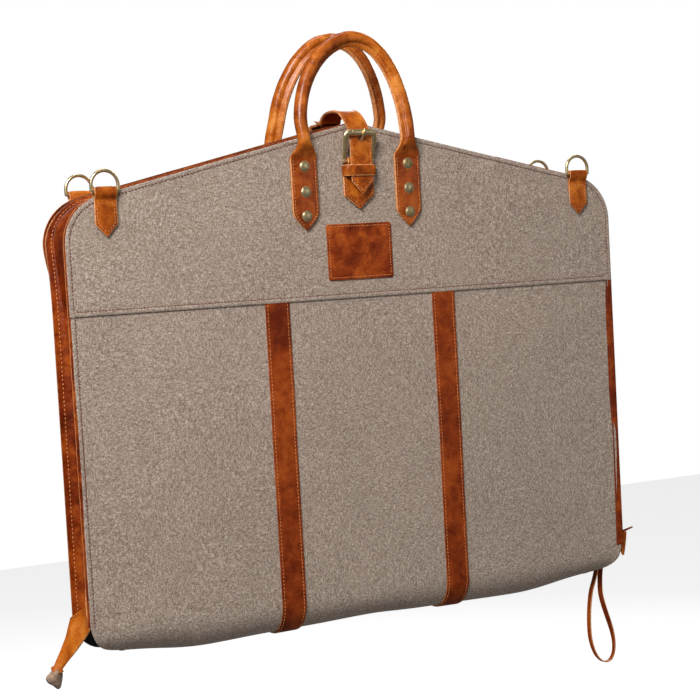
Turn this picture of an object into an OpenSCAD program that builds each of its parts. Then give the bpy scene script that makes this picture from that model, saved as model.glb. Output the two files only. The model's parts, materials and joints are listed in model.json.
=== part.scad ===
// Folding garment bag: a canvas and leather suit carrier, folded in half at its bottom and buckled at its top.
// X runs across the bag, the front faces -Y and Z is up. The origin is over the hanger slot, level with the peak.

/* [Bag] */
// Width between the two side edges
bag_w = 600; // [580:2:630]
// Height from the top peak to the bottom of the fold
bag_h = 496; // [480:2:540]
// Thickness over the two main canvas faces
bag_t = 64; // [62:1:68]
// Slope of the shoulders, in degrees
shoulder_slope = 13.2; // [12.5:0.1:14]
// Radius of the upper corners
corner_r = 46; // [40:1:50]
// Drop of the upper corners below the peak, to the centre of their radius
corner_drop = 107; // [105:1:115]

/* [Cloth and leather] */
// Thickness of the canvas
canvas_t = 1.6; // [1.2:0.1:1.8]
// Thickness of the leather
leather_t = 1.8; // [1.4:0.1:2]
// Depth of the yoke, from the peak down to its hem
yoke_drop = 172; // [165:1:180]
// Width of the leather stripes
stripe_w = 26; // [20:1:30]
// Distance of each stripe's middle from the bag's middle
stripe_x = 92.5; // [88:0.5:110]
// Height of the name patch
patch_h = 55; // [45:1:58]
// Width of the name patch
patch_w = 72; // [60:1:78]

/* [Handles] */
// Distance of each handle leg from the bag's middle
handle_x = 57; // [56:0.5:60]
// Height of the handle's arch over its straight legs
handle_rise = 93; // [85:1:95]
// Radius of the rolled leather
roll_r = 7.6; // [7:0.1:7.8]
// Lean of each handle towards the other, in degrees
handle_lean = 8.5; // [7:0.5:9]

/* [Hardware] */
// Outer width of the D-rings
ring_w = 29; // [28:0.5:32]
// Wire diameter of the D-rings
ring_wire = 3.2; // [3:0.1:3.4]
// Outer width of the buckle frame
buckle_w = 35; // [34.6:0.1:36]
// Width of the closing strap
strap_w = 24; // [20:1:25]

/* [Hidden] */
$fn = 48;

canvas_colour = [0.62, 0.54, 0.48];
leather_colour = [0.62, 0.30, 0.10];
brass_colour = [0.72, 0.65, 0.42];
lining_colour = [0.06, 0.06, 0.07];

half_w = bag_w / 2;
face_y = bag_t / 2;
yoke_y = face_y + canvas_t;
corner_x = half_w - corner_r;
middle_y = 9;
split_gap = 1;
lining_t = 1;
fold_z = -(bag_h - face_y - 12);
fold_centre_z = -(bag_h - face_y);
bottom_r = 30;
flange_w = 12;
flange_proud = 3;
web_inset = 14;
collar_half_w = 22;
collar_depth = face_y - canvas_t + middle_y - lining_t - 2 * leather_t;
brow_w = 14;
lining_tail = 18;

neck_y = yoke_y + roll_r + 2.6;
neck_z = -28;
leg_h = 18;
handle_step = 7.5;
handle_sides = 16;
core_r = roll_r - leather_t;
tab_w = 25;
tab_t = 3.2;
tab_top_z = -37;
tab_tip_z = -104;
rivet_zs = [-42, -66.5, -90];
rivet_r = 4.5;

ring_x = 260;
ring_bar_z = -58;
ring_r = ring_wire / 2;
ring_bore_r = ring_r + 0.08;
ring_loop_r = ring_r + leather_t;
ring_y = yoke_y + ring_loop_r;
ring_arch_r = ring_w / 2 - ring_r;
ring_tab_w = ring_w - 2 * ring_wire - 1;
ring_tab_tip_z = -100.5;

bar_r = 1.8;
frame_r = 2;
bar_bore_r = bar_r + 0.08;
bar_loop_r = bar_r + 1.5;
bar_y = yoke_y + bar_loop_r;
bar_z = -38;
strap_t = 2.4;
strap_back_y = bar_y + bar_loop_r + 0.3;
strap_front_y = strap_back_y + strap_t;
frame_top_y = strap_front_y + 0.3 + frame_r;
frame_top_z = -11;
frame_h = norm([frame_top_y - bar_y, frame_top_z - bar_z]);
frame_tilt = atan2(frame_top_y - bar_y, frame_top_z - bar_z);
prong_r = 1.5;
prong_tilt = frame_tilt + asin((frame_r + prong_r + 0.15) / frame_h);
prong_l = 31;
buckle_tab_w = 33;
buckle_tab_tip_z = -85;
keeper_top_z = -42;
keeper_bottom_z = -53;
strap_tip_z = -71.5;
strap_arch_z = 0;
strap_arch_h = 13;
anchor_top_z = -14;
anchor_bottom_z = -78;

zip_x = half_w - web_inset;
zip_y = -1;
zip_top_z = -118;
zip_bottom_z = -446;
tape_t = 0.8;
tape_half = 7;
teeth_h = 1.6;
slider_l = 14;
pull_pin_x = zip_x + 6.2;
pull_pin_z = zip_bottom_z + 4;
pull_end_z = -466;

// Route of the pull loop, from one end at the zip pull, round the bottom and back up to the other end.
loop_r = 1.6;
loop_route = [
    [290.4, -1, -466], [290.4, -1, -469], [288.6, -1, -478], [285.2, -1, -488], [281.6, -1, -498.6],
    [278, 0, -510], [275.6, 0, -522], [274, 0, -535], [273.4, 0, -548], [274, 0, -560], [276.4, 0, -571],
    [280.6, 0, -580.4], [286.6, 0, -587.4], [293.4, 0, -590.2], [299.8, 0, -588], [303.8, 0, -581],
    [304.8, 0, -571], [303.4, 0, -560], [300.4, 0, -548.6], [296.6, 0, -537], [293, 0, -525.6],
    [290.4, 0, -514], [289.6, -1, -502], [290.6, -1, -490], [293, -1, -478], [294.6, -1, -469], [294.6, -1, -466]
];
loop_sides = 8;

// ---- helpers ----

// A 2D outline that stands in the XZ plane, filled from y0 to y1.
module upright(y0, y1) {
    rotate([90, 0, 0]) translate([0, 0, -y1]) linear_extrude(y1 - y0) children();
}

// A 2D outline drawn in Y and Z, filled from x0 to x1.
module sideways(x0, x1) {
    rotate([90, 0, 90]) translate([0, 0, x0]) linear_extrude(x1 - x0) children();
}

// The front layout as it is, or turned to the back for side = 1.
module on_face(side) {
    mirror([0, side > 0 ? 1 : 0, 0]) children();
}

function unit(v) = v / norm(v);
function way_at(route, i) = unit(route[min(i + 1, len(route) - 1)] - route[max(i - 1, 0)]);
function ring_point(route, r, sides, i, k) =
    let (way = way_at(route, i), across = unit(cross(way, [0, 1, 0])), turn = 360 * k / sides)
    route[i] + r * (cos(turn) * across + sin(turn) * cross(way, across));

function ring_points(route, r, sides) =
    [for (i = [0 : len(route) - 1], k = [0 : sides - 1]) ring_point(route, r, sides, i, k)];
// The four corners of each wall face between two rings, with the first point numbered base.
function wall_faces(base, rings, sides) = [for (i = [0 : rings - 2], k = [0 : sides - 1])
    [base + i * sides + k, base + (i + 1) * sides + k,
     base + (i + 1) * sides + (k + 1) % sides, base + i * sides + (k + 1) % sides]];
function backwards(faces) = [for (f = faces) [f[3], f[2], f[1], f[0]]];
// The faces between the outer and the inner ring at one end.
function rim_faces(outer, inner, sides) = [for (k = [0 : sides - 1])
    [outer + k, outer + (k + 1) % sides, inner + (k + 1) % sides, inner + k]];

// A bar of radius r along a route that stays near one upright plane.
module swept_bar(route, r, sides) {
    rings = len(route);
    first = [[for (k = [0 : sides - 1]) k]];
    last = [[for (k = [0 : sides - 1]) rings * sides - 1 - k]];
    polyhedron(ring_points(route, r, sides), concat(wall_faces(0, rings, sides), first, last));
}

// The same as an open tube.
module swept_tube(route, r_out, r_in, sides) {
    rings = len(route);
    inner = rings * sides;
    end = (rings - 1) * sides;
    polyhedron(
        concat(ring_points(route, r_out, sides), ring_points(route, r_in, sides)),
        concat(
            wall_faces(0, rings, sides), backwards(wall_faces(inner, rings, sides)),
            rim_faces(0, inner, sides), backwards(rim_faces(end, inner + end, sides))
        )
    );
}

function shoulder_point(inset) = [
    corner_x + (corner_r - inset) * sin(shoulder_slope),
    -corner_drop + (corner_r - inset) * cos(shoulder_slope)
];
function peak_z(inset) = shoulder_point(inset)[1] + shoulder_point(inset)[0] * tan(shoulder_slope);

// The bag's outline drawn in from its edge by inset, down to bottom_z, with its peak left sharp.
module sharp_outline(inset, bottom_z) {
    half = half_w - inset;
    shoulder = shoulder_point(inset);
    polygon([
        [-half, bottom_z], [half, bottom_z], [half, -corner_drop], shoulder, [0, peak_z(inset)],
        [-shoulder[0], shoulder[1]], [-half, -corner_drop]
    ]);
    for (s = [-1, 1]) translate([s * corner_x, -corner_drop]) circle(r = corner_r - inset);
}

// The same outline with its peak cut to a short flat brow.
module outline(inset, bottom_z) {
    peak = peak_z(inset);
    brow_z = peak - brow_w / 2 * tan(shoulder_slope);
    difference() {
        sharp_outline(inset, bottom_z);
        translate([-brow_w, brow_z]) square([2 * brow_w, 20]);
    }
}

// A band along the top and sides, between two insets.
module edge_band(outer, inner) {
    difference() {
        sharp_outline(outer, fold_z);
        sharp_outline(inner, fold_z - 1);
    }
}

// A strip hanging from z_top to z_tip that ends in a pointed arch.
module pointed_strip(w, z_top, z_tip) {
    spring_z = z_tip + w * 0.866;
    translate([-w / 2, spring_z]) square([w, z_top - spring_z]);
    intersection() {
        translate([-w / 2, spring_z]) circle(r = w);
        translate([w / 2, spring_z]) circle(r = w);
        translate([-w / 2, z_tip - 1]) square([w, spring_z - z_tip + 1]);
    }
}

// ---- canvas shell ----

module panel(side) {
    color(canvas_colour) on_face(side) upright(-face_y, -face_y + canvas_t) outline(0, fold_z);
}

module yoke(side) {
    color(canvas_colour) on_face(side) upright(-yoke_y, -face_y) outline(0, -yoke_drop);
}

module stripe(side, x) {
    color(leather_colour) on_face(side) translate([x - stripe_w / 2, -face_y - leather_t, fold_z])
        cube([stripe_w, leather_t, -yoke_drop - fold_z]);
}

// Half a ring with straight ends, as the cloth runs round the bottom fold.
module fold_profile(outer_r, t) {
    difference() {
        union() {
            translate([0, fold_centre_z]) circle(r = outer_r);
            translate([-outer_r, fold_centre_z]) square([2 * outer_r, fold_z - fold_centre_z]);
        }
        translate([0, fold_centre_z]) circle(r = outer_r - t);
        translate([-outer_r + t, fold_centre_z]) square([2 * (outer_r - t), 2 * outer_r]);
    }
}

module fold_canvas() {
    color(canvas_colour) intersection() {
        sideways(-half_w, half_w) fold_profile(face_y, canvas_t);
        upright(-face_y - 1, face_y + 1) union() {
            translate([-half_w, -bag_h + bottom_r]) square([bag_w, bag_h]);
            translate([-half_w + bottom_r, -bag_h]) square([bag_w - 2 * bottom_r, bag_h]);
            for (s = [-1, 1]) translate([s * (half_w - bottom_r), -bag_h + bottom_r]) circle(r = bottom_r);
        }
    }
}

module fold_stripe(x) {
    color(leather_colour) sideways(x - stripe_w / 2, x + stripe_w / 2)
        fold_profile(face_y + leather_t, leather_t);
}

// ---- gussets and linings ----

// One half's leather gusset, from y_out behind its canvas to y_in at its lining: a web with a flange at each end.
module gusset(y_out, y_in) {
    upright(y_out, y_out + leather_t) edge_band(-flange_proud, flange_w);
    upright(y_out, y_in) edge_band(web_inset, web_inset + leather_t);
    upright(y_out, y_out + leather_t) edge_band(flange_w, web_inset + leather_t);
    upright(y_in - leather_t, y_in) edge_band(-flange_proud, web_inset + leather_t);
}

module front_gusset() {
    gusset(-face_y + canvas_t, middle_y - lining_t);
}

module back_gusset() {
    mirror([0, 1, 0]) gusset(-face_y + canvas_t, -middle_y - split_gap - lining_t);
}

// The part of a gusset at one side, s = -1 or 1, or over the top for s = 0.
module gusset_zone(s) {
    side_w = corner_r + 20;
    if (s == 0) translate([-corner_x, -face_y - 5, -110]) cube([2 * corner_x, bag_t + 10, 130]);
    if (s < 0) translate([-corner_x - side_w, -face_y - 5, fold_z - 1]) cube([side_w, bag_t + 10, bag_h]);
    if (s > 0) translate([corner_x, -face_y - 5, fold_z - 1]) cube([side_w, bag_t + 10, bag_h]);
}

module front_side_gusset(s) {
    color(leather_colour) difference() {
        intersection() {
            front_gusset();
            gusset_zone(s);
        }
        // the slit under the zip
        if (s > 0) translate([zip_x - 5, zip_y - 3, zip_bottom_z]) cube([10, 6, zip_top_z - zip_bottom_z]);
    }
}

module front_top_gusset() {
    color(leather_colour) difference() {
        intersection() {
            front_gusset();
            gusset_zone(0);
        }
        translate([-collar_half_w, -face_y + canvas_t + leather_t, -30])
            cube([2 * collar_half_w, collar_depth, 30]);
    }
}

// The flat reinforcement with the slot that the hanger's hook comes out of.
module hanger_collar() {
    z = peak_z(web_inset) - collar_half_w * tan(shoulder_slope) - leather_t;
    color(leather_colour) difference() {
        translate([-collar_half_w, -face_y + canvas_t + leather_t, z])
            cube([2 * collar_half_w, collar_depth, leather_t]);
        translate([-10, 0, z - 1]) cylinder(h = leather_t + 2, r = 4.5);
        translate([10, 0, z - 1]) cylinder(h = leather_t + 2, r = 4.5);
        translate([-10, -4.5, z - 1]) cube([20, 9, leather_t + 2]);
    }
}

module back_side_gusset(s) {
    color(leather_colour) intersection() {
        back_gusset();
        gusset_zone(s);
    }
}

module back_top_gusset() {
    color(leather_colour) intersection() {
        back_gusset();
        gusset_zone(0);
    }
}

module lining(y0) {
    color(lining_colour) upright(y0, y0 + lining_t) union() {
        outline(0, fold_z);
        translate([-half_w + bottom_r, fold_z - lining_tail]) square([bag_w - 2 * bottom_r, lining_tail + 1]);
    }
}

// A strap across the inside of the front half that keeps the clothes flat.
module garment_strap() {
    reach = half_w - web_inset - leather_t;
    color(lining_colour) translate([-reach, middle_y - lining_t - leather_t, -320]) cube([2 * reach, 1.2, 30]);
}

// The loose gusset leather at the left end of the fold, drawn out into a twisted tail.
module left_fold_ear() {
    color(leather_colour) hull() {
        translate([-300, -20, fold_z - 2]) cube([14, 22, 1.5]);
        translate([-317, -12, -474]) cube([8, 14, 10]);
        translate([-328, -6, -504]) sphere(r = 4, $fn = 20);
        translate([-322, -4, -506]) sphere(r = 3, $fn = 20);
    }
}

// The small wedge of gusset leather that sticks out at the right end of the fold.
module right_fold_ear() {
    color(leather_colour) hull() {
        translate([297, -26, fold_z - 16]) cube([3, 5, 12]);
        translate([316, -24, fold_z + 6]) cube([4, 3, 3]);
        translate([304.5, -26, fold_z + 2]) cube([3, 5, 5]);
    }
}

// ---- patch and handle fittings ----

module name_patch() {
    color(leather_colour) translate([-patch_w / 2, -yoke_y - leather_t, -99 - patch_h])
        cube([patch_w, leather_t, patch_h]);
}

module handle_tab(side, x) {
    color(leather_colour) on_face(side) translate([x, 0, 0]) upright(-yoke_y - tab_t, -yoke_y)
        pointed_strip(tab_w, tab_top_z, tab_tip_z);
}

// A domed rivet head that stands on y = 0 and faces -Y.
module rivet_head() {
    dome_r = 6.2;
    rise = dome_r - sqrt(dome_r * dome_r - rivet_r * rivet_r);
    rotate([90, 0, 0]) {
        cylinder(h = 0.6, r = rivet_r);
        translate([0, 0, 0.6]) intersection() {
            cylinder(h = rise + 1, r = rivet_r);
            translate([0, 0, rise - dome_r]) sphere(r = dome_r);
        }
    }
}

module handle_rivets(side) {
    color(brass_colour) on_face(side)
        for (s = [-1, 1], z = rivet_zs) translate([s * handle_x, -yoke_y - tab_t, z]) rivet_head();
}

// The middle of the roll: a straight leg up, half an ellipse over and a straight leg down.
handle_route = concat(
    [[handle_x, 0, 0]],
    [for (a = [0 : handle_step : 180]) [handle_x * cos(a), 0, leg_h + handle_rise * sin(a)]],
    [[-handle_x, 0, 0]]
);

module at_neck(side) {
    on_face(side) translate([0, -neck_y, neck_z]) rotate([-handle_lean, 0, 0]) children();
}

module handle_cover(side) {
    color(leather_colour) at_neck(side) swept_tube(handle_route, roll_r, core_r, handle_sides);
}

module handle_core(side) {
    color(lining_colour) at_neck(side) swept_bar(handle_route, core_r, handle_sides);
}

// ---- D-rings ----

module ring_tab(side, x) {
    color(leather_colour) on_face(side) translate([x, 0, 0]) {
        upright(-yoke_y - 2 * leather_t, -yoke_y)
            pointed_strip(ring_tab_w, ring_bar_z - ring_loop_r + 0.6, ring_tab_tip_z);
        difference() {
            translate([-ring_tab_w / 2, -ring_y, ring_bar_z]) rotate([0, 90, 0])
                cylinder(h = ring_tab_w, r = ring_loop_r);
            translate([-ring_tab_w / 2 - 1, -ring_y, ring_bar_z]) rotate([0, 90, 0])
                cylinder(h = ring_tab_w + 2, r = ring_bore_r);
        }
    }
}

module d_ring(side, x) {
    color(brass_colour) on_face(side) translate([x, -ring_y, ring_bar_z]) {
        translate([-ring_arch_r, 0, 0]) rotate([0, 90, 0]) cylinder(h = 2 * ring_arch_r, r = ring_r);
        for (s = [-1, 1]) translate([s * ring_arch_r, 0, 0]) {
            sphere(r = ring_r);
            cylinder(h = 5, r = ring_r);
        }
        translate([0, 0, 5]) rotate([90, 0, 0])
            rotate_extrude(angle = 180) translate([ring_arch_r, 0]) circle(r = ring_r);
    }
}

// ---- buckle and closing strap ----

module buckle_tab() {
    color(leather_colour) {
        difference() {
            upright(-yoke_y - tab_t, -yoke_y)
                pointed_strip(buckle_tab_w, bar_z - bar_loop_r + 0.6, buckle_tab_tip_z);
            prong_slot();
        }
        difference() {
            translate([-strap_w / 2, -bar_y, bar_z]) rotate([0, 90, 0]) cylinder(h = strap_w, r = bar_loop_r);
            translate([-strap_w / 2 - 1, -bar_y, bar_z]) rotate([0, 90, 0])
                cylinder(h = strap_w + 2, r = bar_bore_r);
            prong_slot();
        }
    }
}

// The slot in the leather that the prong's root turns in.
module prong_slot() {
    translate([-2.6, -bar_y - 6, bar_z - 5]) cube([5.2, 12, 12]);
}

module buckle_keeper() {
    inner = buckle_tab_w / 2 + 0.2;
    outer = inner + leather_t;
    depth = strap_front_y + 0.3 - yoke_y;
    color(leather_colour) translate([0, 0, keeper_bottom_z])
        linear_extrude(keeper_top_z - keeper_bottom_z) difference() {
        translate([-outer, -yoke_y - depth - leather_t]) square([2 * outer, depth + leather_t]);
        translate([-inner, -yoke_y - depth]) square([2 * inner, depth + 1]);
    }
}

module at_bar(tilt) {
    translate([0, -bar_y, bar_z]) rotate([tilt, 0, 0]) children();
}

module buckle_frame() {
    half = buckle_w / 2 - frame_r;
    color(brass_colour) at_bar(frame_tilt) {
        translate([-half, 0, 0]) rotate([0, 90, 0]) cylinder(h = 2 * half, r = bar_r);
        translate([-half, 0, frame_h]) rotate([0, 90, 0]) cylinder(h = 2 * half, r = frame_r);
        for (s = [-1, 1]) translate([s * half, 0, 0]) {
            cylinder(h = frame_h, r = frame_r);
            sphere(r = frame_r);
            translate([0, 0, frame_h]) sphere(r = frame_r);
        }
    }
}

module buckle_prong() {
    color(brass_colour) at_bar(prong_tilt) difference() {
        union() {
            translate([-2, 0, 0]) rotate([0, 90, 0]) cylinder(h = 4, r = bar_loop_r);
            cylinder(h = prong_l, r = prong_r);
            translate([0, 0, prong_l]) sphere(r = prong_r);
        }
        translate([-3, 0, 0]) rotate([0, 90, 0]) cylinder(h = 6, r = bar_bore_r);
    }
}

// The strap's edge-on shape in Y and Z: an arch over the top, a straight front leg and a short back leg.
module strap_profile() {
    back_y = yoke_y + 0.3;
    mid_y = (back_y - strap_back_y) / 2;
    span = (back_y + strap_back_y) / 2;
    translate([-strap_front_y, strap_tip_z]) square([strap_t, strap_arch_z - strap_tip_z]);
    translate([back_y, anchor_top_z + 0.4]) square([strap_t, strap_arch_z - anchor_top_z - 0.4]);
    difference() {
        translate([mid_y, strap_arch_z]) strap_arch(span + strap_t, strap_arch_h + strap_t);
        translate([mid_y, strap_arch_z]) strap_arch(span, strap_arch_h);
    }
}

// Half of a flat arch: quarter rounds joined by a straight crown.
module strap_arch(half, h) {
    translate([-half + h, 0]) intersection() {
        circle(r = h);
        translate([-h, 0]) square([h, h]);
    }
    translate([half - h, 0]) intersection() {
        circle(r = h);
        square([h, h]);
    }
    translate([-half + h, 0]) square([2 * (half - h), h]);
}

module closing_strap() {
    color(leather_colour) difference() {
        intersection() {
            sideways(-strap_w / 2, strap_w / 2) strap_profile();
            upright(-strap_front_y - 1, yoke_y + strap_t + 1) pointed_strip(strap_w, 40, strap_tip_z);
        }
        translate([-2.4, -strap_front_y - 1, -35]) cube([4.8, strap_t + 2, 18]);
    }
}

module strap_anchor() {
    color(leather_colour) on_face(1) upright(-yoke_y - tab_t, -yoke_y)
        pointed_strip(strap_w + 8, anchor_top_z, anchor_bottom_z);
}

// ---- zip ----

module zip_tape() {
    color(lining_colour) difference() {
        translate([zip_x, zip_y - tape_half, zip_bottom_z])
            cube([tape_t, 2 * tape_half, zip_top_z - zip_bottom_z]);
        translate([zip_x - 1, zip_y - 1, zip_bottom_z - 1]) cube([3, 2, zip_top_z - zip_bottom_z + 2]);
    }
}

// The closed chain of teeth: a rib on each side of the tape's slit.
module zip_teeth() {
    color(brass_colour) translate([zip_x, zip_y - 1, zip_bottom_z]) {
        cube([tape_t, 2, zip_top_z - zip_bottom_z]);
        translate([tape_t, -1.5, 0]) cube([teeth_h, 5, zip_top_z - zip_bottom_z]);
    }
}

module zip_slider() {
    base_x = zip_x + tape_t + 0.3;
    plate_x = zip_x + tape_t + teeth_h + 0.3;
    ear_h = pull_pin_x - plate_x + 1.6;
    color(brass_colour) translate([0, zip_y, zip_bottom_z]) {
        translate([plate_x, -6, 0]) cube([1.4, 12, slider_l]);
        for (s = [-1, 1]) translate([base_x, s > 0 ? 3 : -6, 0]) cube([plate_x - base_x, 3, slider_l]);
        difference() {
            for (s = [-1, 1]) translate([plate_x, s > 0 ? 3.4 : -5, 1]) cube([ear_h, 1.6, 7]);
            translate([pull_pin_x, -7, 4]) rotate([-90, 0, 0]) cylinder(h = 14, r = 1.08);
        }
    }
}

module zip_pull() {
    color(brass_colour) translate([0, zip_y, 0]) {
        translate([pull_pin_x, -5.2, pull_pin_z]) rotate([-90, 0, 0]) cylinder(h = 10.4, r = 1);
        translate([pull_pin_x - 0.9, -3, pull_end_z]) cube([1.8, 6, pull_pin_z - pull_end_z]);
        translate([288.8, -3, pull_end_z]) cube([7.6, 6, 3]);
    }
}

module pull_loop() {
    color(leather_colour) swept_bar(loop_route, loop_r, loop_sides);
}

// ---- nodes ----

panel(-1);  // front_panel
yoke(-1);  // front_yoke
stripe(-1, -stripe_x);  // front_left_stripe
stripe(-1, stripe_x);  // front_right_stripe
front_side_gusset(-1);  // front_left_gusset
front_side_gusset(1);  // front_right_gusset
front_top_gusset();
lining(middle_y - lining_t);  // front_lining
garment_strap();
hanger_collar();
name_patch();
handle_tab(-1, -handle_x);  // front_left_handle_tab
handle_tab(-1, handle_x);  // front_right_handle_tab
handle_rivets(-1);  // front_handle_rivets
ring_tab(-1, -ring_x);  // front_left_ring_tab
ring_tab(-1, ring_x);  // front_right_ring_tab
buckle_tab();
buckle_keeper();
zip_tape();
zip_teeth();
fold_canvas();
fold_stripe(-stripe_x);  // fold_left_stripe
fold_stripe(stripe_x);  // fold_right_stripe
left_fold_ear();
right_fold_ear();
handle_cover(-1);  // front_handle_cover
handle_core(-1);  // front_handle_core
d_ring(-1, -ring_x);  // front_left_ring
d_ring(-1, ring_x);  // front_right_ring
buckle_frame();
buckle_prong();
zip_slider();
zip_pull();
pull_loop();
panel(1);  // back_panel
yoke(1);  // back_yoke
stripe(1, -stripe_x);  // back_left_stripe
stripe(1, stripe_x);  // back_right_stripe
back_side_gusset(-1);  // back_left_gusset
back_side_gusset(1);  // back_right_gusset
back_top_gusset();
lining(middle_y + split_gap);  // back_lining
handle_tab(1, -handle_x);  // back_left_handle_tab
handle_tab(1, handle_x);  // back_right_handle_tab
handle_rivets(1);  // back_handle_rivets
ring_tab(1, -ring_x);  // back_left_ring_tab
ring_tab(1, ring_x);  // back_right_ring_tab
strap_anchor();
handle_cover(1);  // back_handle_cover
handle_core(1);  // back_handle_core
d_ring(1, -ring_x);  // back_left_ring
d_ring(1, ring_x);  // back_right_ring
closing_strap();
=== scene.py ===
"""A folded garment bag in canvas and leather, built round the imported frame. Everything is in metres."""
import json
import math
import random

import bmesh
import bpy
import numpy as np
from mathutils import Matrix, Vector, noise
from mathutils.geometry import delaunay_2d_cdt


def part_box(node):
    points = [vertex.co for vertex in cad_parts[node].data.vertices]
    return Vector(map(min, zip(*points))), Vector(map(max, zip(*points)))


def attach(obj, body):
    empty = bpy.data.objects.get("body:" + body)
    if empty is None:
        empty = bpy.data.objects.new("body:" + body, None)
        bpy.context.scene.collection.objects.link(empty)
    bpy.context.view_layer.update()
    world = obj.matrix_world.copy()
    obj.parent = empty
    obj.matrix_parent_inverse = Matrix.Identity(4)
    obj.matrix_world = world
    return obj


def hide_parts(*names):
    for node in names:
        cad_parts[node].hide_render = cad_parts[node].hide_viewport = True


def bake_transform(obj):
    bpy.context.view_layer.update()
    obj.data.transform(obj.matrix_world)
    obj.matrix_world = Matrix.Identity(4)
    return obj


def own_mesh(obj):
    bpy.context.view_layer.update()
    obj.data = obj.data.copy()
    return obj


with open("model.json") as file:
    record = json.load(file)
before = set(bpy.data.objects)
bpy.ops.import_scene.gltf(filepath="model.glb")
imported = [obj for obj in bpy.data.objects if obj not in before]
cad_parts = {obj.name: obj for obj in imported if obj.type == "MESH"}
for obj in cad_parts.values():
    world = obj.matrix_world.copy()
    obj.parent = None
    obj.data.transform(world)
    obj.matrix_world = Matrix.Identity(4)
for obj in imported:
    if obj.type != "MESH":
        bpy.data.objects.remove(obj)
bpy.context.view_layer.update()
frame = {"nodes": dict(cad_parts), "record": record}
MM = 0.001
nodes = frame["nodes"]
random.seed(7)
noise.seed_set(7)

# ---- sizes, from the frame and from the design's own driving values ----

HALF_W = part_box("front_panel")[1].x
FACE_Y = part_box("back_panel")[1].y
YOKE_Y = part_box("back_yoke")[1].y
HEM_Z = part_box("front_yoke")[0].z
BOTTOM_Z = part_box("fold_canvas")[0].z
FOLD_R = FACE_Y
FOLD_Z = BOTTOM_Z + FOLD_R
FOLD_LENGTH = math.pi * FOLD_R
CLOTH_LENGTH = 2 * -FOLD_Z + FOLD_LENGTH
STRIPE_X = (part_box("front_right_stripe")[0].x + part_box("front_right_stripe")[1].x) / 2
STRIPE_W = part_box("front_right_stripe")[1].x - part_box("front_right_stripe")[0].x
CANVAS_T = 1.6 * MM
LEATHER_T = 1.8 * MM
SHOULDER_SLOPE = math.radians(13.2)
CORNER_R = 46 * MM
CORNER_X = HALF_W - CORNER_R
CORNER_Z = -107 * MM
CORNER_TURN = math.pi / 2 - SHOULDER_SLOPE
BROW_HALF = 7 * MM
FOLD_CORNER_R = 34 * MM
FOLD_CORNER_TOP_Z = BOTTOM_Z + 7 * MM + FOLD_CORNER_R
MIDDLE_Y = 9.5 * MM
HEM_W = 4.4 * MM
CANVAS_INSET = 1.2 * MM
BOTH_FACES = ((-1, "front"), (1, "back"))
BOTH_HANDS = ((-1, "left"), (1, "right"))

# ---- camera: a long lens at the left of the front, almost level ----

CAMERA_YAW = math.radians(-26.964)
CAMERA_RISE = math.radians(3.411)
CAMERA_ROLL = math.radians(-3.188)
CAMERA_DISTANCE = 1.718
CAMERA_TARGET = Vector((0.0002, 0, -0.22525))
CAMERA_LENS_MM = 87.83


def make_camera():
    back = Vector((
        math.sin(CAMERA_YAW) * math.cos(CAMERA_RISE),
        -math.cos(CAMERA_YAW) * math.cos(CAMERA_RISE),
        math.sin(CAMERA_RISE),
    ))
    right = (-back).cross(Vector((0, 0, 1))).normalized()
    up = right.cross(-back)
    across = math.cos(CAMERA_ROLL) * right + math.sin(CAMERA_ROLL) * up
    upward = math.cos(CAMERA_ROLL) * up - math.sin(CAMERA_ROLL) * right
    data = bpy.data.cameras.new("camera")
    data.lens = CAMERA_LENS_MM
    data.clip_start = 0.05
    data.clip_end = 20
    camera = bpy.data.objects.new("camera", data)
    bpy.context.scene.collection.objects.link(camera)
    turn = Matrix((across, upward, back)).transposed().to_4x4()
    camera.matrix_world = Matrix.Translation(CAMERA_TARGET + CAMERA_DISTANCE * back) @ turn
    bpy.context.scene.camera = camera


make_camera()

# ---- shader nodes ----


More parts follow.
